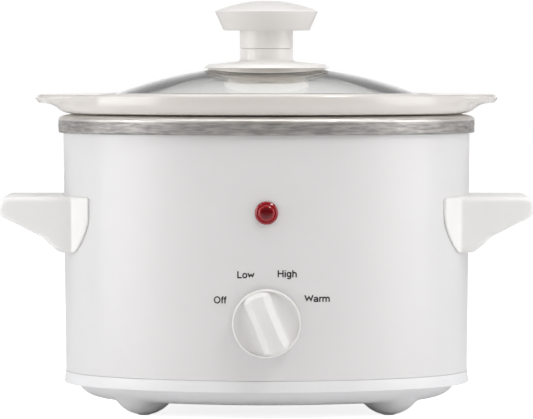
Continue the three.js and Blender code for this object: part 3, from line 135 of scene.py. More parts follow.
def rounded(corners, steps=ARC_STEPS, closed=False):
    """A line through corners (x, z) or (x, z, radius), rounded where there is a radius."""
    line = []
    count = len(corners)
    for i, corner in enumerate(corners):
        here = Vector(corner[:2])
        if len(corner) == 2 or not (closed or 0 < i < count - 1):
            line.append(tuple(here))
            continue
        before = Vector(corners[i - 1][:2]) - here
        after = Vector(corners[(i + 1) % count][:2]) - here
        half = before.angle(after) / 2
        run = min(corner[2] / tan(half), before.length * 0.495, after.length * 0.495)
        radius = run * tan(half)
        start, end = here + before.normalized() * run, here + after.normalized() * run
        centre = here + (before.normalized() + after.normalized()).normalized() * (radius / sin(half))
        turn = (start - centre).angle_signed(end - centre)
        out = start - centre
        for k in range(steps + 1):
            c, s = cos(-turn * k / steps), sin(-turn * k / steps)
            line.append((centre.x + out.x * c - out.y * s, centre.y + out.x * s + out.y * c))
    return line


def curve(points, steps):
    """A Bezier curve of three or four points, without its first point."""
    line = []
    for k in range(1, steps + 1):
        row = [Vector(p) for p in points]
        while len(row) > 1:
            row = [a.lerp(b, k / steps) for a, b in zip(row, row[1:])]
        line.append(tuple(row[0]))
    return line


def inset(outline, depth):
    """A counter-clockwise outline drawn in by a depth."""
    line = []
    for i, here in enumerate(outline):
        a = (Vector(here) - Vector(outline[i - 1])).normalized()
        b = (Vector(outline[(i + 1) % len(outline)]) - Vector(here)).normalized()
        normal = Vector((-a.y - b.y, a.x + b.x)).normalized()
        lean = max(0.35, normal.dot(Vector((-a.y, a.x))))
        line.append((here[0] + normal.x * depth / lean, here[1] + normal.y * depth / lean))
    return line


# ---- making meshes


def new_object(name, data):
    made = bpy.data.objects.new(name, data)
    bpy.context.scene.collection.objects.link(made)
    return made


def crisp(mesh, angle=SHARP):
    """Smooth shading, with edges over an angle left crisp."""
    work = bmesh.new()
    work.from_mesh(mesh)
    for face in work.faces:
        face.smooth = True
    for edge in work.edges:
        edge.smooth = len(edge.link_faces) == 2 and edge.calc_face_angle() < angle
    work.to_mesh(mesh)
    work.free()


def written(name, work):
    made = new_object(name, bpy.data.meshes.new(name))
    work.to_mesh(made.data)
    work.free()
    return made


def solid_from(name, points, faces, angle=SHARP):
    """An object from points in millimetres and faces, with its normals outwards."""
    work = bmesh.new()
    corners = [work.verts.new(Vector(p) * MM) for p in points]
    for face in faces:
        work.faces.new([corners[i] for i in face])
    bmesh.ops.remove_doubles(work, verts=work.verts, dist=1e-7)
    bmesh.ops.recalc_face_normals(work, faces=work.faces)
    made = written(name, work)
    crisp(made.data, angle)
    return made


def skinned(name, rings, closed=False, angle=SHARP, capped=False):
    """A solid through rings of points. A ring of one point is a pole; caps fill the end rings."""
    points, starts = [], []
    for ring in rings:
        starts.append(len(points))
        points.extend(ring)
    faces = [tuple(range(starts[1])), tuple(range(starts[-1], len(points)))] if capped else []
    for a in range(len(rings) if closed else len(rings) - 1):
        b = (a + 1) % len(rings)
        count = max(len(rings[a]), len(rings[b]))
        for i in range(count):
            j = (i + 1) % count
            low = [starts[a] + k % len(rings[a]) for k in (i, j)]
            high = [starts[b] + k % len(rings[b]) for k in (j, i)]
            faces.append(list(dict.fromkeys(low + high)))
    return solid_from(name, points, faces, angle)


def turns_of(facets):
    return [2 * pi * i / facets for i in range(facets)]


def oval_ring(half_length, z, facets=FINE, core=CORE):
    if half_length == 0:
        return [(0, MIDDLE_Y, z)]
    return [(*oval_point(half_length, turn, core), z) for turn in turns_of(facets)]


def turned_piece(name, profile, place, facets=TURNED, closed=False):
    """A profile of (radius, reach) turned; place maps (across, up, reach) to a point."""
    rings = []
    for radius, reach in profile:
        ring = [place(radius * cos(t), radius * sin(t), reach) for t in turns_of(facets)]
        rings.append(ring if radius > 0 else ring[:1])
    return skinned(name, rings, closed)


def rod(radius, start, end, place, facets=TURNED):
    """A plain cylinder, to cut with or to join on."""
    return turned_piece("rod", [(0, start), (radius, start), (radius, end), (0, end)], place, facets)


def upright(x, y):
    """Turned pieces that stand at x, y, with reach as their height."""
    return lambda across, up, reach: (x + across, y + up, reach)


def facing(way, y, z):
    """Turned pieces on the front (way -1) or the rear (way 1), with reach outwards from y."""
    return lambda across, up, reach: (-way * across, y + way * reach, z + up)


def block(name, low, high):
    points = [(x, y, z) for x in (low[0], high[0]) for y in (low[1], high[1]) for z in (low[2], high[2])]
    faces = [(0, 1, 3, 2), (4, 6, 7, 5), (0, 4, 5, 1), (2, 3, 7, 6), (0, 2, 6, 4), (1, 5, 7, 3)]
    return solid_from(name, points, faces)


def settled(piece, angle=SHARP):
    """Turns a piece's modifiers into its plain mesh."""
    graph = bpy.context.evaluated_depsgraph_get()
    mesh = bpy.data.meshes.new_from_object(piece.evaluated_get(graph))
    piece.modifiers.clear()
    piece.data = mesh
    crisp(mesh, angle)


def combined(piece, others, operation="DIFFERENCE", angle=SHARP):
    """Cuts, joins or intersects a piece with others, which are used up."""
    for other in others:
        modifier = piece.modifiers.new("combine", "BOOLEAN")
        modifier.operation = operation
        modifier.solver = "EXACT"
        modifier.object = other
        settled(piece, angle)
        bpy.data.objects.remove(other)
    return piece


def merged(name, pieces):
    """One object that holds the meshes of several, which are used up."""
    work = bmesh.new()
    for piece in pieces:
        work.from_mesh(piece.data)
        bpy.data.objects.remove(piece)
    return written(name, work)


def moulded(piece, grain, passes=5):
    """Grows touching shapes into one skin and eases its edges."""
    remesh = piece.modifiers.new("skin", "REMESH")
    remesh.mode = "VOXEL"
    remesh.voxel_size = grain * MM
    ease = piece.modifiers.new("ease", "SMOOTH")
    ease.factor = 0.5
    ease.iterations = passes
    settled(piece, pi)


def dressed(piece, slot, *nodes, body="housing", look=None):
    """Places a piece in the frame, in its slot's finish or its own look."""
    painted(piece, look or slot)
    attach(piece, body)
    if nodes:
        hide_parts(*nodes)


# ---- finishes


def feed(tree, socket, value):
    """Links an output to an input, or sets the input to a plain value."""
    if isinstance(value, bpy.types.NodeSocket):
        tree.links.new(value, socket)
    else:
        socket.default_value = value


def node(tree, kind, *sources, **values):
    """A node. Sources feed its inputs in order; a key names a setting or an input."""
    made = tree.nodes.new(kind)
    for key, value in values.items():
        if hasattr(made, key):
            setattr(made, key, value)
        else:
            feed(tree, made.inputs[key.replace("_", " ")], value)
    for socket, source in zip(made.inputs, sources):
        feed(tree, socket, source)
    return made


def object_place(tree):
    return node(tree, "ShaderNodeTexCoord").outputs["Object"]


def ranged(tree, source, low, high, start=0.0, end=1.0, kind="SMOOTHSTEP"):
    """A value's step between two limits, eased unless it is linear."""
    limits = {"From_Min": low, "From_Max": high, "To_Min": start, "To_Max": end}
    return node(tree, "ShaderNodeMapRange", source, interpolation_type=kind, **limits).outputs["Result"]


def blended(tree, factor, a, b):
    """Mix of two values by a factor."""
    return node(tree, "ShaderNodeMix", Factor=factor, A=a, B=b).outputs["Result"]


def colour_mix(tree, factor, a, b):
    """Mix of two colours by a factor."""
    made = node(tree, "ShaderNodeMix", Factor=factor, data_type="RGBA")
    feed(tree, made.inputs[6], a)
    feed(tree, made.inputs[7], b)
    return made.outputs[2]


def cloud(tree, place, scale, detail, roughness=0.5):
    """Noise of a scale, which is one number or one for each axis."""
    scale = scale if isinstance(scale, tuple) else (scale,) * 3
    spread = node(tree, "ShaderNodeMapping", place, Scale=scale).outputs["Vector"]
    settings = {"Scale": 1, "Detail": detail, "Roughness": roughness}
    return node(tree, "ShaderNodeTexNoise", spread, **settings).outputs["Fac"]


def new_material(name):
    made = bpy.data.materials.new(name)
    made.use_nodes = True
    return made


def painted(piece, look):
    piece.data.materials.clear()
    piece.data.materials.append(FINISHES[look])


def shader_of(made):
    return made.node_tree.nodes["Principled BSDF"]


def shaded(made, **inputs):
    """Feeds the inputs of a material's shader."""
    for key, value in inputs.items():
        feed(made.node_tree, shader_of(made).inputs[key.replace("_", " ")], value)


def finish(name, colour, roughness, mottle, grain=40, spread=0.05, wear=90, relief=(0.02, 500), **shader):
    """A material that varies a little. Relief is a depth and its noise's scale."""
    made = new_material(name)
    tree = made.node_tree
    place = object_place(tree)
    ramp = node(tree, "ShaderNodeValToRGB", cloud(tree, place, grain, 5, 0.6))
    for i, position, factor in ((0, 0.3, 1 - mottle), (1, 0.7, 1 + mottle)):
        ramp.color_ramp.elements[i].position = position
        ramp.color_ramp.elements[i].color = (*(min(1, c * factor) for c in colour), 1)
    gloss = max(0.0, roughness - spread), roughness + spread
    gloss = ranged(tree, cloud(tree, place, wear, 4), 0.3, 0.7, *gloss, kind="LINEAR")
    height = cloud(tree, place, relief[1], 3)
    bump = node(tree, "ShaderNodeBump", Height=height, Strength=1.0, Distance=relief[0] * MM)
    shaded(made, Base_Color=ramp.outputs["Color"], Roughness=gloss, Normal=bump.outputs["Normal"], **shader)
    FINISHES[name] = made


# Finishes go by their slot's name, or by their own where a piece looks different; the knob's and the pan's own
# looks are shaded copies of the white plastic that carry painted shade.
FINISHES = {}
MOULDED = (0.006, 150)
finish(
    "white_enamel", (0.77, 0.765, 0.77), 0.34, 0.01, 25, 0.03, relief=(0.02, 45),
    Coat_Weight=0.3, Coat_Roughness=0.3,
)
finish("white_plastic", (0.88, 0.88, 0.875), 0.34, 0.012, relief=MOULDED)
# painted shade: the white plastic made darker for the control knob, so its face and bar read dimmer
finish("shaded_knob_plastic", (0.835, 0.83, 0.82), 0.38, 0.012, relief=MOULDED)
# painted shade: the white plastic made darker and bluish for the base pan, after its shaded tiers
finish("shaded_pan_plastic", (0.84, 0.845, 0.86), 0.36, 0.015, relief=MOULDED)
finish("pale_plastic", (0.92, 0.88, 0.83), 0.3, 0.02)
finish(
    "white_melamine", (0.89, 0.87, 0.85), 0.36, 0.015, relief=(0.01, 120),
    Coat_Weight=0.3, Coat_Roughness=0.1,
)
finish(
    "stoneware_glaze", (0.725, 0.69, 0.66), 0.22, 0.02, (25, 25, 60), relief=(0.04, 70),
    Coat_Weight=0.85, Coat_Roughness=0.16,
)
finish(
    "crimped_sheet", (0.33, 0.315, 0.305), 0.42, 0.42, (110, 110, 800), 0.12,
    relief=(0.2, (220, 220, 900)), Metallic=0.4,
)
finish("bright_sheet", (0.6, 0.6, 0.59), 0.4, 0.06, (15, 400, 15), Metallic=0.9)
finish("zinc_plate", (0.6, 0.6, 0.585), 0.36, 0.08, 200, 0.1, Metallic=0.95)
finish("brass", (0.62, 0.44, 0.18), 0.3, 0.06, (20, 1200, 20), Metallic=1.0)
finish("grey_rubber", (0.25, 0.25, 0.255), 0.75, 0.12, relief=(0.03, 900))
finish("phenolic", (0.11, 0.07, 0.05), 0.5, 0.12, 150)
finish("mica", (0.5, 0.43, 0.33), 0.6, 0.18, (60, 60, 400), relief=(0.08, (300, 300, 900)))
finish("white_ceramic", (0.78, 0.75, 0.69), 0.65, 0.04, 300, relief=(0.03, 500))
finish("black_wire", (0.02, 0.02, 0.021), 0.55, 0.2)
finish("white_wire", (0.72, 0.71, 0.68), 0.55, 0.04)
finish("ink", (0.012, 0.012, 0.013), 0.45, 0.2, 900, relief=(0.005, 500))
finish("lamp_glass", (0.95, 0.78, 0.62), 0.08, 0.03, spread=0.03, Transmission_Weight=0.8, IOR=1.47)
finish(
    "clear_glass", (0.975, 0.98, 0.975), 0.015, 0.01, spread=0.012, wear=25, relief=(0.02, 25),
    Transmission_Weight=1.0, IOR=1.47,
)
finish(
    "red_lens", (0.13, 0.002, 0.005), 0.09, 0.1, 250, 0.03, relief=(0.01, 300), Transmission_Weight=0.05,
    IOR=1.49, Specular_IOR_Level=0.4, Coat_Weight=0.35, Coat_Roughness=0.05,
)


def let_lamps_through(made):
    """Lamps shine through the glass, so it leaves no black shadow."""
    tree = made.node_tree
    shadow = node(tree, "ShaderNodeLightPath").outputs["Is Shadow Ray"]
    clear = node(tree, "ShaderNodeBsdfTransparent", (0.95, 0.955, 0.95, 1)).outputs[0]
    mixer = node(tree, "ShaderNodeMixShader", shadow, shader_of(made).outputs[0], clear)
    feed(tree, tree.nodes["Material Output"].inputs["Surface"], mixer.outputs[0])


def toned(made, share, colour):
    """Turns a material's colour to another one as a share rises."""
    before = shader_of(made).inputs["Base Color"].links[0].from_socket
    shaded(made, Base_Color=colour_mix(made.node_tree, share, before, (*colour, 1)))


def polish_and_highlight_above(made, low, high, colour):
    """Lighter, brighter metal above a height, where the sheet is folded over: partly the fold's own polish,
    partly a painted highlight along the shoulder.
    """
    tree = made.node_tree
    height = node(tree, "ShaderNodeSeparateXYZ", object_place(tree)).outputs["Z"]
    share = ranged(tree, height, low * MM, high * MM)
    toned(made, share, colour)
    dull = shader_of(made).inputs["Metallic"].default_value
    shaded(made, Metallic=ranged(tree, share, 0, 1, dull, 0.9, "LINEAR"))


def paint_lens_highlight_ring(made, low, high, colour):
    """A painted highlight: a brighter ring of red where the lens's cone catches the light."""
    tree = made.node_tree
    offset = node(tree, "ShaderNodeVectorMath", object_place(tree), (0, 0, LENS_Z * MM), operation="SUBTRACT")
    flat = node(tree, "ShaderNodeVectorMath", offset.outputs[0], (1, 0, 1), operation="MULTIPLY")
    across = node(tree, "ShaderNodeVectorMath", flat.outputs[0], operation="LENGTH")
    toned(made, ranged(tree, across.outputs["Value"], low * MM, high * MM), colour)


let_lamps_through(FINISHES["clear_glass"])
# partly painted highlight: the band's rounded shoulder gets a much lighter colour above this height
polish_and_highlight_above(FINISHES["crimped_sheet"], WELL_HIGH.z - 2.6, WELL_HIGH.z - 1.4, (0.74, 0.71, 0.68))
# painted highlight: the lens's red turns brighter outside a radius, where its cone catches the light
paint_lens_highlight_ring(FINISHES["red_lens"], 2.4, 3.6, (0.32, 0.006, 0.014))

for part in frame["record"]["subparts"]:
    painted(frame["nodes"][part["node"]], part["material_slot"])


# ---- sleeve and heating well

SHELL_ROWS = 34
SWITCH_HOLE, LENS_HOLE, GLAND_HOLE, HOLE_REACH = 4.9, 4.3, 5.9, 5  # radii, how far the cutters reach


def make_sleeve():
    """Painted sheet sleeve with its three holes."""
    tall = SHELL_HIGH.z - SHELL_LOW.z
    heights = [SHELL_LOW.z + tall * i / SHELL_ROWS for i in range(SHELL_ROWS + 1)]
    outside = [(shell_reach(z), z) for z in heights]
    inside = [(a - SHELL_WALL, z) for a, z in reversed(outside)]
    sleeve = skinned("sleeve", [oval_ring(a, z) for a, z in outside + inside], closed=True)
    front, rear = shell_front(0, CONTROL_Z), 2 * MIDDLE_Y - shell_front(0, GLAND_Z)
    holes = (
        (SWITCH_HOLE, facing(-1, front, CONTROL_Z)), (LENS_HOLE, facing(-1, front, LENS_Z)),
        (GLAND_HOLE, facing(1, rear, GLAND_Z)),
    )
    combined(sleeve, [rod(radius, -HOLE_REACH, HOLE_REACH, place) for radius, place in holes])
    dressed(sleeve, "white_enamel", "outer_shell")


BAND_HEIGHT = 9.35
SHOULDER_RUN, SHOULDER_RISE = 5.6, 2.5
BAND_ROWS, CREST_STEPS = 9, 8
FLANGE_LIFT = 0.75  # how far the flange stands over the solid's
WELL_SHEET = 1.2
WALL_LEAN = 0.05
WELL_CORNER = 15
WELL_WALL_TOP = 91.6  # half length of the well's outside under its flange
CRINKLE, CRINKLE_LENGTH, CRINKLE_HEIGHT = 0.5, 13, 1.5


def crinkle(point):
    """How far the pressed band stands in or out at a point."""
    turn = atan2(point[1] - MIDDLE_Y, point[0])
    along = 2 * pi * 97 / CRINKLE_LENGTH
    place = Vector((cos(turn) * along / 6.28, sin(turn) * along / 6.28, point[2] / CRINKLE_HEIGHT))
    fine = Vector((place.x * 3.1, place.y * 3.1, place.z * 1.9))
    return noise.noise(place) * 0.7 + noise.noise(fine) * 0.4


def make_heating_well():
    """Sheet-metal well with its flange and crimped band."""
    top, inside = WELL_HIGH.z + FLANGE_LIFT, SHELL_HIGH.x + 0.3
    outside = WELL_HIGH.x
    low = WELL_LOW.z
    floor_corner = WELL_WALL_TOP - WALL_LEAN * (top - low)
    band_bottom = top - BAND_HEIGHT
    side = BAND_HEIGHT - SHOULDER_RISE - 0.5
    crimped = [(outside, band_bottom + 0.5 + side * i / BAND_ROWS) for i in range(BAND_ROWS + 1)]
    quarter = [pi / 2 * k / CREST_STEPS for k in range(1, CREST_STEPS + 1)]
    crest = [
        (outside - SHOULDER_RUN * (1 - cos(turn)), crimped[-1][1] + SHOULDER_RISE * sin(turn))
        for turn in quarter
    ]
    bowl_outside = rounded([(0, low), (floor_corner, low, WELL_CORNER), (WELL_WALL_TOP, top - WELL_SHEET)], 8)
    bowl_inside = rounded(
        [
            (outside - SHOULDER_RUN - 0.5, top), (WELL_WALL_TOP - WELL_SHEET, top, WELL_SHEET),
            (floor_corner - WELL_SHEET, low + WELL_SHEET, WELL_CORNER - WELL_SHEET), (0, low + WELL_SHEET),
        ],
        8,
    )[1:]
    profile = bowl_outside + [(inside, top - WELL_SHEET), (inside, band_bottom), (outside - 0.5, band_bottom)]
    profile += crimped + crest + bowl_inside
    rings = [oval_ring(a, z, 2 * FINE) for a, z in profile]
    for i, (a, z) in enumerate(profile):
        if abs(a - outside) > 0.01:
            continue
        fade = smooth(top - 2.2, top - 3.4, z) * smooth(band_bottom, band_bottom + 1, z)
        for k, point in enumerate(rings[i]):
            share = 1 + crinkle(point) * CRINKLE * fade / 100
            rings[i][k] = (point[0] * share, MIDDLE_Y + (point[1] - MIDDLE_Y) * share, z)
    well = skinned("heating_well", rings, angle=radians(50))
    dressed(well, "bright_sheet", "well", look="crimped_sheet")


make_sleeve()
make_heating_well()


# ---- base, feet and pads

FOOT_X, FOOT_Y = (PAD_LOW.x + PAD_HIGH.x) / 2, (PAD_LOW.y + PAD_HIGH.y) / 2 - MIDDLE_Y
FOOT_RADIUS = 17.5
FOOT_BLEND, FOOT_FLAT = 1.7, 0.25
PAN_FLOOR = 7.5
PAN_TIER = 14.9
PAN_LIP_TOP = 20.95
PAN_STEP = 7.2
PAN_EDGE_RUN = 10
PAN_WALL = 2.4
LIP_INSET, LIP_ROUND, LIP_TAPER = 0.2, 0.5, 0.7
RIB_GAP, RIB_WALL = 0.3, 1.8
SCREW_WELL = 4.2
PAN_CRISP = radians(40)


def foot_dip(x, y, height):
    """Height of the pan's underside, with the foot domes."""
    for side_x in (-FOOT_X, FOOT_X):
        for side_y in (-FOOT_Y, FOOT_Y):
            away = hypot(x - side_x, y - MIDDLE_Y - side_y)
            if away >= FOOT_RADIUS:
                continue
            dome = max(FOOT_RADIUS - sqrt(FOOT_RADIUS**2 - away**2), FOOT_FLAT)
            share = min(1, max(0, 0.5 + 0.5 * (dome - height) / FOOT_BLEND))
            height = dome + (height - dome) * share - FOOT_BLEND * share * (1 - share)
    return height


def make_base_pan():
    """Plastic pan with two tiers, a locating rib and four feet."""
    lip = PAN_HIGH.x - LIP_INSET
    tier = PAN_HIGH.x - PAN_STEP
    floor = tier - PAN_EDGE_RUN
    rib = shell_reach(SHELL_LOW.z) - SHELL_WALL - RIB_GAP
    floor_rows = [(i * 3.0, PAN_FLOOR) for i in range(12)]
    near_rows = [(36 + i * 1.2, PAN_FLOOR) for i in range(int((floor - 36) / 1.2))]
    start, end = (floor, PAN_FLOOR), (tier, PAN_TIER)
    edge = [start] + curve([start, (floor + 6.5, PAN_FLOOR + 1.2), (tier - 0.6, PAN_TIER - 1.5), end], 12)
    walls = rounded(
        [
            end, (lip, PAN_TIER, LIP_ROUND), (lip - LIP_TAPER, PAN_LIP_TOP, 0.4), (rib, PAN_LIP_TOP),
            (rib, PAN_HIGH.z), (rib - RIB_WALL, PAN_HIGH.z), (rib - RIB_WALL, PAN_TIER + PAN_WALL, 2),
            (floor, PAN_FLOOR + PAN_WALL), (0, PAN_FLOOR + PAN_WALL),
        ]
    )[1:]
    underside = floor_rows + near_rows + edge
    rings = [oval_ring(a, z) for a, z in underside + walls]
    for i in range(len(underside)):
        rings[i] = [(x, y, foot_dip(x, y, z)) for x, y, z in rings[i]]
    pan = skinned("base_pan_shell", rings, angle=PAN_CRISP)
    screw_x = (BASE_SCREW_LOW.x + BASE_SCREW_HIGH.x) / 2
    places = [upright(side * screw_x, MIDDLE_Y) for side in (-1, 1)]
    combined(pan, [rod(SCREW_WELL, 0, PAN_FLOOR + 2, place, 48) for place in places], angle=PAN_CRISP)
    dressed(pan, "white_plastic", "base_pan", look="shaded_pan_plastic")


def repeated(name, source, columns, rows, spacing, height, look):
    """Copies of a piece on a flat grid, made by a node tree into one plain mesh."""
    tree = bpy.data.node_groups.new(name, "GeometryNodeTree")
    inputs = {}
    for label, kind, value in (
        ("Piece", "Object", source),
        ("Columns", "Int", columns),
        ("Rows", "Int", rows),
        ("Length", "Float", spacing[0] * MM),
        ("Width", "Float", spacing[1] * MM),
        ("Finish", "Material", FINISHES[look]),
    ):
        socket = tree.interface.new_socket(label, in_out="INPUT", socket_type="NodeSocket" + kind)
        inputs[socket.identifier] = value
    tree.interface.new_socket("Geometry", in_out="OUTPUT", socket_type="NodeSocketGeometry")
    given = tree.nodes.new("NodeGroupInput").outputs
    grid = node(tree, "GeometryNodeMeshGrid", Vertices_X=given["Columns"], Vertices_Y=given["Rows"])
    feed(tree, grid.inputs["Size X"], given["Length"])
    feed(tree, grid.inputs["Size Y"], given["Width"])
    middle = Vector((0, MIDDLE_Y, height)) * MM
    shift = node(tree, "GeometryNodeTransform", Geometry=grid.outputs[0], Translation=middle)
    piece = node(tree, "GeometryNodeObjectInfo", Object=given["Piece"]).outputs["Geometry"]
    spread = node(tree, "GeometryNodeInstanceOnPoints", Points=shift.outputs[0], Instance=piece)
    plain = node(tree, "GeometryNodeRealizeInstances", spread.outputs[0])
    paint = node(tree, "GeometryNodeSetMaterial", plain.outputs[0], Material=given["Finish"])
    node(tree, "NodeGroupOutput", paint.outputs[0])
    made = written(name, bmesh.new())
    modifier = made.modifiers.new("repeat", "NODES")
    modifier.node_group = tree
    for identifier, value in inputs.items():
        modifier[identifier] = value
    settled(made)
    bpy.data.objects.remove(source)
    return made


def screw_source(head_radius, head_height, shank_radius, length):
    """A pan-head screw with a cross recess, head down, its head's underside at zero."""
    head = [(0, -head_height), (head_radius, -head_height, head_height * 0.7), (head_radius, 0)]
    profile = rounded([*head, (shank_radius, 0), (shank_radius, length), (0, length)])
    screw = turned_piece("screw", profile, upright(0, 0), 32)
    reach, half, depth = head_radius * 0.62, head_radius * 0.17, head_height * 0.6
    arms = [
        block("arm", (-x, -y, -head_height - 1), (x, y, -head_height + depth))
        for x, y in ((reach, half), (half, reach))
    ]
    return combined(screw, arms)


def make_feet_and_screws():
    """Rubber pads, ringed underneath, and the base's screws."""
    radius, top = (PAD_HIGH.x - PAD_LOW.x) / 2 - 0.8, PAD_HIGH.z
    profile = rounded([(0, 0.4), (1.6, 0.4), (2.0, 0), (radius, 0, 0.4), (radius, top), (0, top)])
    pad = turned_piece("pad", profile, upright(0, 0), 48)
    pads = repeated("foot_pads", pad, 2, 2, (2 * FOOT_X, 2 * FOOT_Y), 0, "grey_rubber")
    dressed(pads, "grey_rubber", *(f"foot_pad_{i}" for i in range(1, 5)))
    head_radius, head_height = (BASE_SCREW_HIGH.x - BASE_SCREW_LOW.x) / 2, 2.2
    head_top = BASE_SCREW_LOW.z + head_height
    source = screw_source(head_radius, head_height, 2, BASE_SCREW_HIGH.z - head_top)
    apart = BASE_SCREW_LOW.x + BASE_SCREW_HIGH.x
    screws = repeated("base_screws", source, 2, 1, (apart, 0), head_top, "zinc_plate")
    dressed(screws, "zinc_plate", "base_screw_1", "base_screw_2")


make_base_pan()
make_feet_and_screws()


# ---- handles

GRIP_WIDTH = 62
GRIP_ROUND, GRIP_STEPS = 3.2, 4
HANDLE_WALL = 2.6
NOSE_HEIGHT, NOSE_RUN, NOSE_SETBACK = 12, 5.5, 4.2
KNEE_REACH, KNEE_DROP = 11.7, 20.7
FLANGE_THICKNESS = 1.1
FLANGE_TOP, FLANGE_BOTTOM, FLANGE_SHOULDER = 45, 33, 10
SEAT_GAP = 0.06
BOSS_RADIUS, BOSS_Y, BOSS_DROP = 4, 13, 13
HANDLE_GRAIN = 0.55


def grip_block(root):
    """The grip's wedge with a full tip, a swept underside and its long edges rounded."""
    top, bottom, tip = HANDLE_HIGH.z, HANDLE_LOW.z, HANDLE_HIGH.x
    wall = shell_reach(top)
    knee = (SHELL_HIGH.x + KNEE_REACH, top - KNEE_DROP)
    nose = (tip - NOSE_SETBACK, top - NOSE_HEIGHT)
    line = [(root, bottom), (wall, bottom)]
    line += curve([line[-1], (wall + 5, bottom + 1), (knee[0] - 4, knee[1] - 2.2), knee], 10)
    line += [nose, *curve([nose, (tip, nose[1] + 2), (tip, top - NOSE_HEIGHT / 2)], 7)]
    line += [*curve([line[-1], (tip, top), (tip - NOSE_RUN, top)], 7), (root, top)]
    turns = [pi / 2 * k / GRIP_STEPS for k in range(GRIP_STEPS, -1, -1)]
    edges = [inset(line, GRIP_ROUND * (1 - cos(turn))) for turn in turns]
    sides = [GRIP_WIDTH / 2 - GRIP_ROUND * (1 - sin(turn)) for turn in turns]
    rings = [[(x, MIDDLE_Y - y, z) for x, z in edge] for y, edge in zip(sides, edges)]
    rings += [[(x, MIDDLE_Y + y, z) for x, z in edge] for y, edge in reversed([*zip(sides, edges)])]
    return skinned("grip", rings, capped=True)


def envelope(offset, bottom, top):
    """A filled oval that follows the sleeve's outside at an offset."""
    wall = [(shell_reach(z) + offset, z) for z in (bottom, top)]
    return skinned("envelope", [oval_ring(a, z) for a, z in [(0, bottom), *wall, (0, top)]])


def flange_block(root):
    """The flange's outline carried along X, before it is cut to hug the sleeve."""
    top, bottom = HANDLE_HIGH.z, HANDLE_LOW.z
    shoulder = top - FLANGE_SHOULDER
    half = [(0, bottom), (FLANGE_BOTTOM - 2, bottom)]
    swept = [half[-1], (FLANGE_BOTTOM + 3, bottom + 1), (FLANGE_TOP, shoulder - 8), (FLANGE_TOP, shoulder)]
    half += curve(swept, 10)
    half += rounded([half[-1], (FLANGE_TOP, top, 1.5), (0, top)])[1:-1]
    outline = half[1:] + [(-y, z) for y, z in reversed(half[1:])]
    rings = [[(x, MIDDLE_Y + y, z) for y, z in outline] for x in (root, HANDLE_HIGH.x)]
    return skinned("flange", rings, capped=True)


def make_handle(name, side, node_name):
    """A hollow handle with its flange, moulded as one skin."""
    bottom, top = HANDLE_LOW.z, HANDLE_HIGH.z
    root = shell_reach(bottom) - FLANGE_TOP / 2 - 8
    hug = envelope(FLANGE_THICKNESS + 0.3, bottom - 1, top + 1)
    flange = combined(flange_block(root), [hug], "INTERSECT")
    grip = grip_block(root)
    hollow_x = shell_reach(top) + 0.3 + HANDLE_WALL
    side_y = GRIP_WIDTH / 2 - HANDLE_WALL
    far = (HANDLE_HIGH.x - HANDLE_WALL - NOSE_SETBACK, MIDDLE_Y + side_y, top - HANDLE_WALL)
    combined(grip, [block("hollow", (hollow_x, MIDDLE_Y - side_y, bottom - 1), far)])

    def boss_at(y):
        return lambda across, up, reach: (reach, MIDDLE_Y + y + across, top - BOSS_DROP + up)

    bosses = [rod(BOSS_RADIUS, hollow_x - 1, hollow_x + 8, boss_at(y), 32) for y in (-BOSS_Y, BOSS_Y)]
    combined(grip, [flange, *bosses], "UNION")
    combined(grip, [envelope(SEAT_GAP, bottom - 2, top + 2)])
    moulded(grip, HANDLE_GRAIN)
    grip.name = name
    if side < 0:
        for vertex in grip.data.vertices:
            vertex.co.x = -vertex.co.x
            vertex.co.y = 2 * MIDDLE_Y * MM - vertex.co.y
    dressed(grip, "white_plastic", node_name)


make_handle("grip_handle_right", 1, "handle_right")
make_handle("grip_handle_left", -1, "handle_left")


# ---- crock

RIM_UNDER = 156.0  # underside of the rim
RIM_REACH = 108.8  # half length over the rim, without the ears
RIM_TOP_ROUND, RIM_LEAN = 3.2, 0.5
RIM_BELLY, RIM_BELLY_RISE = 2.6, 7.0  # how far in and up the round of the underside reaches
RIM_CROWN = 0.3
RIM_BOW = 1.0  # how much higher the rim stands at its front and back than at its ends
SEAT_REACH, SEAT_DROP = 99.6, 0.6  # the rim's part that rests on the flange
SEAT_SPREAD = 3.0  # how much further out it reaches at the ends
CROCK_TOP = 88.6  # half length of its outside under the rim
CROCK_WALL = 6.5
CROCK_FLOOR = 7
CROCK_CORNER = 13.5
LID_RECESS, RECESS_EDGE = 7, 87.1
EAR_RADIUS, EAR_REACH, EAR_THICKNESS, EAR_DROP = 42, CROCK_HIGH.x - RIM_REACH, 4.3, 0.05
EAR_EASE = 4.0


def ear_reach(angle):
    """How far an ear stands out past the rim where the rim's normal is at an angle."""
    along, across = abs(cos(angle)), sin(angle)
    apart = RIM_REACH + EAR_REACH - EAR_RADIUS - END_CENTRE
    inside = EAR_RADIUS**2 - (apart * across) ** 2
    if inside <= 0:
        return 0.0
    reach = apart * along - (RIM_REACH - END_CENTRE) + sqrt(inside)
    eased = (reach + sqrt(reach * reach + 4 * EAR_EASE**2)) / 2
    return eased * smooth(-16, -5, reach) * EAR_REACH / (EAR_REACH + EAR_EASE**2 / EAR_REACH)


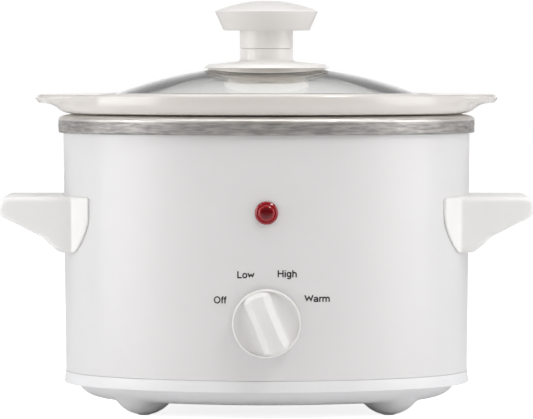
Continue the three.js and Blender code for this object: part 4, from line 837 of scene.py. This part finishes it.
def rim_section(angle):
    """The rim's outer profile, from underside to top, drawn out where there is an ear."""
    top = CROCK_HIGH.z + RIM_BOW * smooth(0.6, 1, abs(sin(angle)))
    low, edge = RIM_UNDER, RIM_REACH
    end = (edge - 8, top + RIM_CROWN)
    seat_edge = SEAT_REACH + SEAT_SPREAD * smooth(0.55, 0.95, abs(cos(angle)))
    seat = (seat_edge + 0.5, low - 0.1)
    belly = [(edge - RIM_BELLY, low), (edge - 1.2, low + 0.7), (edge, low + 3), (edge, low + RIM_BELLY_RISE)]
    shoulder = rounded([belly[-1], (edge - RIM_LEAN, top, RIM_TOP_ROUND), end], 10)
    plain = [seat, *curve(belly, 11), *shoulder[1:]]
    reach = ear_reach(angle)
    ear_top = top - EAR_DROP
    ear_under = ear_top - EAR_THICKNESS
    tip = edge + max(reach, 3.0)
    swept = [(edge - 5.4, low), (edge + 1.7, low + 0.6), (edge - 0.2, ear_under - 0.3), (tip - 3, ear_under)]
    swept = curve(swept, 11)
    nose = [(tip - 2.2, ear_under, 1.0), (tip, ear_top - 1.9, 0.8), (tip - 1.9, ear_top, 1.3)]
    eared = [seat, *swept[:-1], *rounded([swept[-1], *nose, end], 3)[1:-1], end]
    share = smooth(0, EAR_REACH - 1, reach)
    line = [(CROCK_TOP + 5, low - SEAT_DROP), (seat_edge, low - SEAT_DROP)]
    return line + [tuple(a + (b - a) * share for a, b in zip(p, q)) for p, q in zip(plain, eared)]


def make_crock():
    """Glazed stoneware crock with its rim, the lid's ledge and two ears."""
    top, bottom, wide = CROCK_HIGH.z, CROCK_LOW.z, CROCK_TOP
    foot = wide - WALL_LEAN * (RIM_UNDER - bottom)
    seat = RIM_UNDER - SEAT_DROP
    below = rounded([(0, bottom), (foot, bottom, CROCK_CORNER), (wide, seat, 3.6), (wide + 5, seat)], 8)[:-1]
    ledge = top - LID_RECESS
    cavity_floor = bottom + CROCK_FLOOR
    cavity = wide - CROCK_WALL
    inside = rounded(
        [
            (RIM_REACH - 8, top + RIM_CROWN), (RECESS_EDGE, top, RIM_TOP_ROUND + 0.6),
            (RECESS_EDGE, ledge, 1.2), (cavity, ledge, 1.2),
            (cavity - WALL_LEAN * (ledge - cavity_floor), cavity_floor, CROCK_CORNER - 1.5), (0, cavity_floor),
        ],
        8,
    )[1:]
    angles = turns_of(FINE)
    rings = [oval_ring(a, z) for a, z in below]
    for row in zip(*(rim_section(turn) for turn in angles)):
        rings.append([(*oval_point(a, turn), z) for (a, z), turn in zip(row, angles)])
    rings += [oval_ring(a, z) for a, z in inside]
    dressed(skinned("stoneware_crock", rings, angle=pi), "stoneware_glaze", "crock", body="crock")


make_crock()


# ---- lid

GLASS = 4.0
GLASS_ROWS, GLASS_HOLE = 26, 2.6
DOME_RISE = GLASS_HIGH.z - GLASS_LOW.z - GLASS
LID_EDGE = GLASS_HIGH.x
ON_AXIS = upright(0, MIDDLE_Y)
BORE = 2.3
STEM_RADIUS = 14
SEAM_DEPTH = 1.2
DISK_BOTTOM_RADIUS = 22.5
GASKET_INSIDE, GASKET_OUTSIDE = 27.0, 30.9
DISK_CROWN, DISK_SIDE, CAP_STEM = 5.2, 9.9, 10.0
COLLAR_RISE = 3.8


def cap_height(across, radius, top):
    """Height of a ball's surface at a distance from its axis."""
    return top - radius + sqrt(radius**2 - across**2)


def dome(across, thickness=0.0):
    """Height of the glass's outside, or of a surface below it, at a distance along X."""
    radius = (LID_EDGE**2 + DOME_RISE**2) / (2 * DOME_RISE)
    return cap_height(across, radius - thickness, GLASS_HIGH.z - thickness)


def make_lid_glass():
    """Tempered glass dome with ground edges and a hole for the knob's screw."""
    edge, low = LID_EDGE, GLASS_LOW.z
    reach = edge - GLASS
    shares = [i / GLASS_ROWS for i in range(1, GLASS_ROWS)]
    outer = [(edge * (1 - s), dome(edge * (1 - s))) for s in shares]
    inner = [(reach * s, dome(reach * s, GLASS)) for s in shares]
    rim = rounded([inner[-1], (reach, low, 0.8), (edge, low, 1.2), (edge, dome(edge), 1), outer[0]], 4)[1:-1]
    inner = [(GLASS_HOLE, dome(GLASS_HOLE, GLASS))] + [p for p in inner if p[0] > GLASS_HOLE]
    outer = [p for p in outer if p[0] > GLASS_HOLE] + [(GLASS_HOLE, dome(GLASS_HOLE))]
    rings = [oval_ring(a, z, core=edge) for a, z in inner + rim + outer]
    glass = skinned("lid_dome", rings, closed=True, angle=radians(40))
    dressed(glass, "clear_glass", "lid_glass", body="lid")


def make_lid_knob():
    """Knob in two mouldings: the collar on the glass and the cap with its disk."""
    foot, seam, edge = COLLAR_LOW.z, COLLAR_HIGH.z, COLLAR_HIGH.x
    seat, spigot = GLASS_HIGH.z + 0.3, CAP_LOW.z - 0.01
    collar = rounded(
        [
            (BORE, seat), (9.8, seat), (edge - 1.0, foot, 0.3), (edge + 0.7, foot + 0.1, 0.15),
            (edge - 1.8, foot + 2.1, 1.2), (STEM_RADIUS, foot + COLLAR_RISE, 1.2), (STEM_RADIUS, seam, 0.15),
            (STEM_RADIUS - SEAM_DEPTH, seam), (STEM_RADIUS - SEAM_DEPTH, spigot), (BORE, spigot),
        ],
        closed=True,
    )
    piece = turned_piece("knob_collar", collar, ON_AXIS, closed=True)
    dressed(piece, "white_melamine", "lid_knob_collar", body="lid")
    low, edge = CAP_LOW.z, CAP_HIGH.x
    disk = low + CAP_STEM
    crown_radius = (edge**2 + DISK_CROWN**2) / (2 * DISK_CROWN)
    crown = []
    for i in range(1, 13):
        across = edge * (1 - i / 12) * 0.985
        crown.append((across, cap_height(across, crown_radius, CAP_HIGH.z)))
    cap = rounded(
        [
            (0, low + 12.3), (BORE, low + 12.3), (BORE, low), (STEM_RADIUS, low, 0.2), (STEM_RADIUS, disk, 0.8),
            (DISK_BOTTOM_RADIUS, disk - 0.5, 0.9), (edge + 0.6, disk + DISK_SIDE - 0.3, 0.5), crown[0],
        ],
    )[:-1]
    dressed(turned_piece("knob_cap", cap + crown, ON_AXIS), "white_melamine", "lid_knob_cap", body="lid")


def dome_share(x, y):
    """Share of the lid's outline, drawn in to the middle, that passes through a place."""
    x, y = abs(x), abs(y)
    end, side = (END_CENTRE, 0, END_CENTRE), (0, -SIDE_CENTRE, PLAN_DIFFERENCE - SIDE_CENTRE)
    for cx, cy, less in (end, side):
        along, span = cx * x + cy * y, (LID_EDGE - less) ** 2 - cx**2 - cy**2
        share = (sqrt(along**2 + span * (x * x + y * y)) - along) / span
        if atan2(y / share - cy, x / share - cx) < ARC_TURN:
            break
    return share


def make_knob_gasket():
    """Soft ring between the collar's flat edge and the dome."""
    top = COLLAR_LOW.z + 0.1
    rings = []
    for radius, level in ((GASKET_INSIDE, 1), (GASKET_INSIDE, 0), (GASKET_OUTSIDE, 0), (GASKET_OUTSIDE, 1)):
        ring = []
        for turn in turns_of(TURNED):
            x, y = radius * cos(turn), radius * sin(turn)
            seat = dome(LID_EDGE * dome_share(x, y)) + 0.2
            ring.append((x, MIDDLE_Y + y, top if level else min(seat, top - 0.1)))
        rings.append(ring)
    dressed(skinned("knob_gasket", rings, closed=True), "pale_plastic", body="lid")


def make_lid_washer_and_screw():
    radius, low, high = WASHER_HIGH.x, WASHER_LOW.z, WASHER_HIGH.z
    profile = rounded(
        [
            (BORE, low + 2), (4.3, low + 2), (4.3, low, 0.3), (radius - 4, low, 0.5),
            (radius - 3, low + 0.7, 0.5), (radius, low + 0.9, 0.8), (radius, high - 2.3), (BORE, high),
        ],
        closed=True,
    )
    plate = turned_piece("lid_under_plate", profile, ON_AXIS, closed=True)
    dressed(plate, "pale_plastic", "lid_washer", body="lid")
    head_top = LID_SCREW_LOW.z + 2
    screw = screw_source(LID_SCREW_HIGH.x, 2, 2, LID_SCREW_HIGH.z - head_top)
    screw.name = "lid_fixing_screw"
    for vertex in screw.data.vertices:
        vertex.co += Vector((0, MIDDLE_Y, head_top)) * MM
    dressed(screw, "zinc_plate", "lid_screw", body="lid")


make_lid_glass()
make_lid_knob()
make_knob_gasket()
make_lid_washer_and_screw()


# ---- control knob, lens and bushing

KNOB_RADIUS = 17.4
KNOB_LEAN = radians(22.5)
KNOB_HEIGHT = 17.0
KNOB_DISK, KNOB_EDGE = 6.5, 1.3
KNOB_RECESS_EDGE, KNOB_RECESS = 10.5, 4.2
SHAFT_RADIUS, SHAFT_DEPTH = 3.3, 8.3
BAR_TOP, BAR_SLOPE, BAR_FLARE, SCOOP = 3.1, 3.7, 1.5, 1.7
BAR_BOW, BAR_DISH = 1.7, 0.5


def knob_height(along, across):
    """Height of the knob's face: a grip bar between two finger scoops."""
    radius = hypot(along, across)
    half = BAR_TOP + BAR_FLARE * (abs(along) / KNOB_RADIUS) ** 3
    scoop = SCOOP * sin(pi * min(1, max(0, (abs(across) - half) / (KNOB_RADIUS - half - 1))))
    floor = KNOB_DISK - scoop
    dish = BAR_DISH * (1 - min(1, abs(across) / half) ** 2)
    crest = KNOB_HEIGHT - BAR_BOW * (along / KNOB_RADIUS) ** 2 - dish
    bar = 1 - smooth(half, half + BAR_SLOPE, abs(across))
    ends = 1 - smooth(KNOB_RADIUS - 3.0, KNOB_RADIUS - KNOB_EDGE, radius)
    return floor + (crest - floor) * bar * ends


def make_control_knob():
    """Rotary knob whose bar leans to the setting it rests at."""
    c, s = cos(KNOB_LEAN), sin(KNOB_LEAN)

    def place(along, across, height):
        return (across * c - along * s, KNOB_HIGH.y - height, CONTROL_Z + across * s + along * c)

    rows, columns = 120, 56
    face_radius = KNOB_RADIUS - KNOB_EDGE
    points, grid = [], []
    for i in range(rows + 1):
        across = face_radius * sin(pi * (i / rows - 0.5))
        reach = sqrt(max(0, face_radius**2 - across**2))
        grid.append(range(len(points), len(points) + columns + 1))
        for k in range(columns + 1):
            along = reach * (2 * k / columns - 1)
            points.append(place(along, across, knob_height(along, across)))
    faces = []
    for near, far in zip(grid, grid[1:]):
        faces += [(near[k], near[k + 1], far[k + 1], far[k]) for k in range(columns)]
    last = [row[0] for row in grid] + [row[-1] for row in grid[-2:0:-1]]
    turns = [pi * (i / rows - 0.5) for i in range(rows + 1)]
    turns = [pi - t for t in turns] + turns[-2:0:-1]
    wall = rounded(
        [
            (face_radius, KNOB_DISK), (KNOB_RADIUS, KNOB_DISK, KNOB_EDGE * 0.8), (KNOB_RADIUS, 0, 0.8),
            (KNOB_RECESS_EDGE, 0), (KNOB_RECESS_EDGE, KNOB_RECESS), (SHAFT_RADIUS, KNOB_RECESS),
            (SHAFT_RADIUS, KNOB_RECESS + SHAFT_DEPTH),
        ]
    )[1:]
    for radius, height in wall:
        ring = range(len(points), len(points) + len(turns))
        points += [place(radius * cos(t), radius * sin(t), height) for t in turns]
        faces += [(last[i - 1], last[i], ring[i], ring[i - 1]) for i in range(len(ring))]
        last = ring
    faces.append(tuple(last))
    knob = solid_from("rotary_knob", points, faces, radians(50))
    dressed(knob, "white_plastic", "control_knob", look="shaded_knob_plastic", body="control")


def make_lens():
    """Red lens: a cut cone with a dished front and a flange."""
    reach = LENS_HIGH.y - LENS_LOW.y
    tube = [(0, reach - 1.5), (2.9, reach - 1.5), (2.9, 0), (4.0, 0), (4.0, 7.0)]
    flange = [(5.9, 7.0), (5.9, 7.7, 0.3), (4.75, 8.4, 0.5), (4.5, 8.2)]
    cone = [(4.0, reach - 0.8, 0.4), (3.0, reach - 0.3, 0.4), (1.7, reach - 0.05, 2.0), (0, reach)]
    profile = rounded(tube + flange + cone, 4)
    lens = turned_piece("power_lens", profile, facing(-1, LENS_HIGH.y, LENS_Z), 64)
    dressed(lens, "red_lens", "indicator_lens")


def make_cord_bushing():
    """Grooved bushing in the rear wall that a mains cord leaves by."""
    reach = GLAND_HIGH.y - GLAND_LOW.y
    groove_end = reach - 4.2
    inner = [(3.6, 0, 0.5), (8, 0, 0.5), (8, 2.5), (5.6, 2.5), (5.6, groove_end)]
    outer = [(8, groove_end, 0.6), (7.6, groove_end + 1.6, 0.8), (6.6, reach, 1.0), (3.6, reach, 0.8)]
    profile = rounded(inner + outer, closed=True)
    bushing = turned_piece("cord_bushing", profile, facing(1, GLAND_LOW.y, GLAND_Z), 64, closed=True)
    dressed(bushing, "white_plastic", "cord_gland")


make_control_knob()
make_lens()
make_cord_bushing()


# ---- lettering round the control

CAPITAL = 3.52  # height of a capital
STROKE = 0.19  # thickness of a letter's lines, as a share of it
SMALL = 0.73  # height of a small letter, as a share of it
INK_LIFT = 0.02
INK_THICKNESS = 0.05
SETTINGS = (("Off", -23.6, 60.6), ("Low", -10.6, 73.5), ("High", 10.5, 74.0), ("Warm", 25.8, 61.3))


def bow(x, z, across, up, start, end):
    """Points along part of an ellipse, its angles in degrees."""
    steps = max(4, round(abs(end - start) / 15))
    turns = (radians(start + (end - start) * i / steps) for i in range(steps + 1))
    return [(x + across * cos(t), z + up * sin(t)) for t in turns]


# Each letter: its width, then the middle lines of its strokes, in heights of a capital.
LETTERS = {
    "O": (1.08, [bow(0.54, 0.5, 0.4, 0.44, 0, 360)]),
    "f": (0.41, [
        [(0.17, 0), (0.17, 0.8), *bow(0.35, 0.8, 0.18, 0.13, 165, 75)],
        [(0.03, 0.67), (0.36, 0.67)],
    ]),
    "L": (0.76, [[(0.16, 1), (0.16, 0)], [(0.1, 0.07), (0.72, 0.07)]]),
    "o": (0.78, [bow(0.39, 0.365, 0.27, 0.31, 0, 360)]),
    "w": (1.0, [[(0.07, SMALL), (0.28, 0.24), (0.5, 0.52), (0.72, 0.24), (0.93, SMALL)]]),
    "H": (1.0, [[(0.16, 0), (0.16, 1)], [(0.84, 0), (0.84, 1)], [(0.16, 0.53), (0.84, 0.53)]]),
    "i": (0.32, [[(0.16, 0), (0.16, SMALL)], [(0.16, 0.86), (0.16, 1)]]),
    "g": (0.79, [
        bow(0.37, 0.385, 0.25, 0.285, 0, 360),
        [(0.63, SMALL), (0.63, -0.02), *bow(0.37, -0.02, 0.26, 0.18, -15, -150)],
    ]),
    "h": (0.78, [[(0.15, 0), (0.15, 1)], [*bow(0.39, 0.43, 0.24, 0.235, 170, 0), (0.63, 0)]]),
    "W": (1.3, [[(0.07, 1), (0.35, 0.25), (0.65, 0.74), (0.95, 0.25), (1.23, 1)]]),
    "a": (0.77, [
        [*bow(0.36, 0.49, 0.25, 0.175, 165, 0), (0.61, 0.12), (0.66, 0.0)],
        [(0.61, 0.42), (0.33, 0.38), *bow(0.28, 0.22, 0.18, 0.155, 90, 290), (0.5, 0.12), (0.61, 0.26)],
    ]),
    "r": (0.47, [[(0.15, 0), (0.15, SMALL)], bow(0.41, 0.42, 0.26, 0.24, 175, 75)]),
    "m": (1.18, [
        [(0.14, 0), (0.14, SMALL)],
        *([*bow(x - 0.225, 0.44, 0.225, 0.225, 170, 0), (x, 0)] for x in (0.59, 1.04)),
    ]),
}


def pen_stroke(line):
    """A thin prism along a middle line, or a ring where the line closes."""
    ring = dist(line[0], line[-1]) < 1e-6
    line = [Vector(point) for point in (line[:-1] if ring else line)]
    sections = []
    for i, here in enumerate(line):
        entry = (here - line[i - 1]).normalized() if ring or i > 0 else None
        leave = (line[(i + 1) % len(line)] - here).normalized() if ring or i < len(line) - 1 else entry
        entry = entry or leave
        along = (entry + leave).normalized()
        out = Vector((-along.y, along.x)) * STROKE / 2 / max(0.27, along.dot(entry))
        corners = ((here + out, 0), (here + out, INK_THICKNESS), (here - out, INK_THICKNESS), (here - out, 0))
        sections.append([(side.x * CAPITAL, depth, side.y * CAPITAL) for side, depth in corners])
    return skinned("stroke", sections, closed=ring, capped=not ring)


def make_setting(word, middle, base_z):
    """A word printed on the sleeve, its letters made of pen strokes."""
    start = -sum(LETTERS[letter][0] for letter in word) / 2
    letters = []
    for letter in word:
        advance, lines = LETTERS[letter]
        strokes = [pen_stroke([(x + start, z) for x, z in line]) for line in lines]
        letters.append(combined(strokes[0], strokes[1:], "UNION"))
        start += advance
    label = merged(f"setting_{word.lower()}", letters)
    for vertex in label.data.vertices:
        x = vertex.co.x / MM + middle
        z = vertex.co.z / MM + base_z
        lift = INK_LIFT + INK_THICKNESS - vertex.co.y / MM
        vertex.co = Vector((x, shell_front(x, z) - lift, z)) * MM
    crisp(label.data)
    painted(label, "ink")
    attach(label, "housing")


for setting in SETTINGS:
    make_setting(*setting)


# ---- studio

CAMERA_AWAY = 2250
CAMERA_HEIGHT = 190
AIM_HEIGHT = 105.2
VIEW_WIDTH = 280.6  # seen across the middle of the cooker
SENSOR = 36
ROOM_FRONT, ROOM_SIDES, ROOM_ABOVE, BACKDROP = 0.06, 0.33, 0.25, 1.0
ROOM_TINT = (1.0, 0.86, 0.76, 1)
WHITE = (1, 1, 1, 1)
FLOOR_SEEN = 0.84


def make_camera():
    data = bpy.data.cameras.new("camera")
    data.sensor_width = SENSOR
    place = Vector((0, MIDDLE_Y - CAMERA_AWAY, CAMERA_HEIGHT))
    aim = Vector((0, MIDDLE_Y, AIM_HEIGHT))
    data.lens = SENSOR * (aim - place).length / VIEW_WIDTH
    data.clip_end = 50
    camera = new_object("camera", data)
    camera.location = place * MM
    camera.rotation_euler = (aim - place).to_track_quat("-Z", "Y").to_euler()
    bpy.context.scene.camera = camera


def make_floor():
    """Pale floor that reads as white, also through glass, and keeps a soft shadow."""
    floor = block("floor", (-6000, -6000, -20), (6000, 6000, 0))
    made = new_material("floor")
    tree = made.node_tree
    rays = node(tree, "ShaderNodeLightPath").outputs
    seen = [rays[f"Is {kind} Ray"] for kind in ("Camera", "Transmission")]
    either = node(tree, "ShaderNodeMath", *seen, operation="MAXIMUM")
    glow = ranged(tree, either.outputs[0], 0, 1, 0, FLOOR_SEEN, "LINEAR")
    shaded(made, Base_Color=(0.85, 0.85, 0.85, 1), Roughness=0.9, Specular_IOR_Level=0.1)
    shaded(made, Emission_Color=WHITE, Emission_Strength=glow)
    floor.data.materials.append(made)


def make_world():
    """A dim room in front, lighter sides and a white backdrop."""
    world = bpy.data.worlds.new("studio")
    bpy.context.scene.world = world
    bpy.context.scene.view_settings.view_transform = "Standard"
    world.use_nodes = True
    tree = world.node_tree
    place = node(tree, "ShaderNodeTexCoord").outputs["Generated"]
    split = node(tree, "ShaderNodeSeparateXYZ", place).outputs
    sides = ranged(tree, split["Y"], -0.95, -0.1, ROOM_FRONT, ROOM_SIDES)
    walls = blended(tree, ranged(tree, split["Y"], 0.0, 0.6), sides, BACKDROP)
    room = blended(tree, ranged(tree, split["Z"], 0.12, 0.34), walls, ROOM_ABOVE)
    seen = node(tree, "ShaderNodeLightPath").outputs["Is Camera Ray"]
    warmth = ranged(tree, split["Y"], -0.9, -0.3)
    whiteness = node(tree, "ShaderNodeMath", warmth, seen, operation="MAXIMUM").outputs[0]
    background = tree.nodes["Background"].inputs
    feed(tree, background["Strength"], blended(tree, seen, room, 1.0))
    feed(tree, background["Color"], colour_mix(tree, whiteness, ROOM_TINT, WHITE))


def make_lamp(name, azimuth, elevation, away, width, height, radiance, mirrored=True):
    """A soft oblong lamp aimed at the cooker; azimuth 0 is in front, 90 to the right."""
    data = bpy.data.lights.new(name, "AREA")
    data.shape = "RECTANGLE"
    data.size, data.size_y = width, height
    data.energy = radiance * pi * width * height
    lamp = new_object(name, data)
    lamp.visible_camera = False
    lamp.visible_glossy = lamp.visible_transmission = mirrored
    turn, lift = radians(azimuth), radians(elevation)
    out = Vector((sin(turn) * cos(lift), -cos(turn) * cos(lift), sin(lift)))
    lamp.location = Vector((0, MIDDLE_Y * MM, 0.1)) + out * away
    lamp.rotation_euler = (-out).to_track_quat("-Z", "Y").to_euler()


make_camera()
make_floor()
make_world()
make_lamp("left_softbox", -70, 10, 0.9, 0.62, 0.75, 2.9)
make_lamp("right_softbox", 70, 12, 0.95, 0.62, 0.75, 2.35)
make_lamp("overhead_softbox", 0, 80, 1.2, 1.3, 0.9, 2.2)
make_lamp("key_lamp", 36, 44, 1.1, 0.2, 0.2, 16)
make_lamp("fill_lamp", -40, 42, 1.1, 0.22, 0.22, 1.5)
make_lamp("rear_softbox", 180, 32, 1.2, 1.1, 0.5, 1.1, mirrored=False)
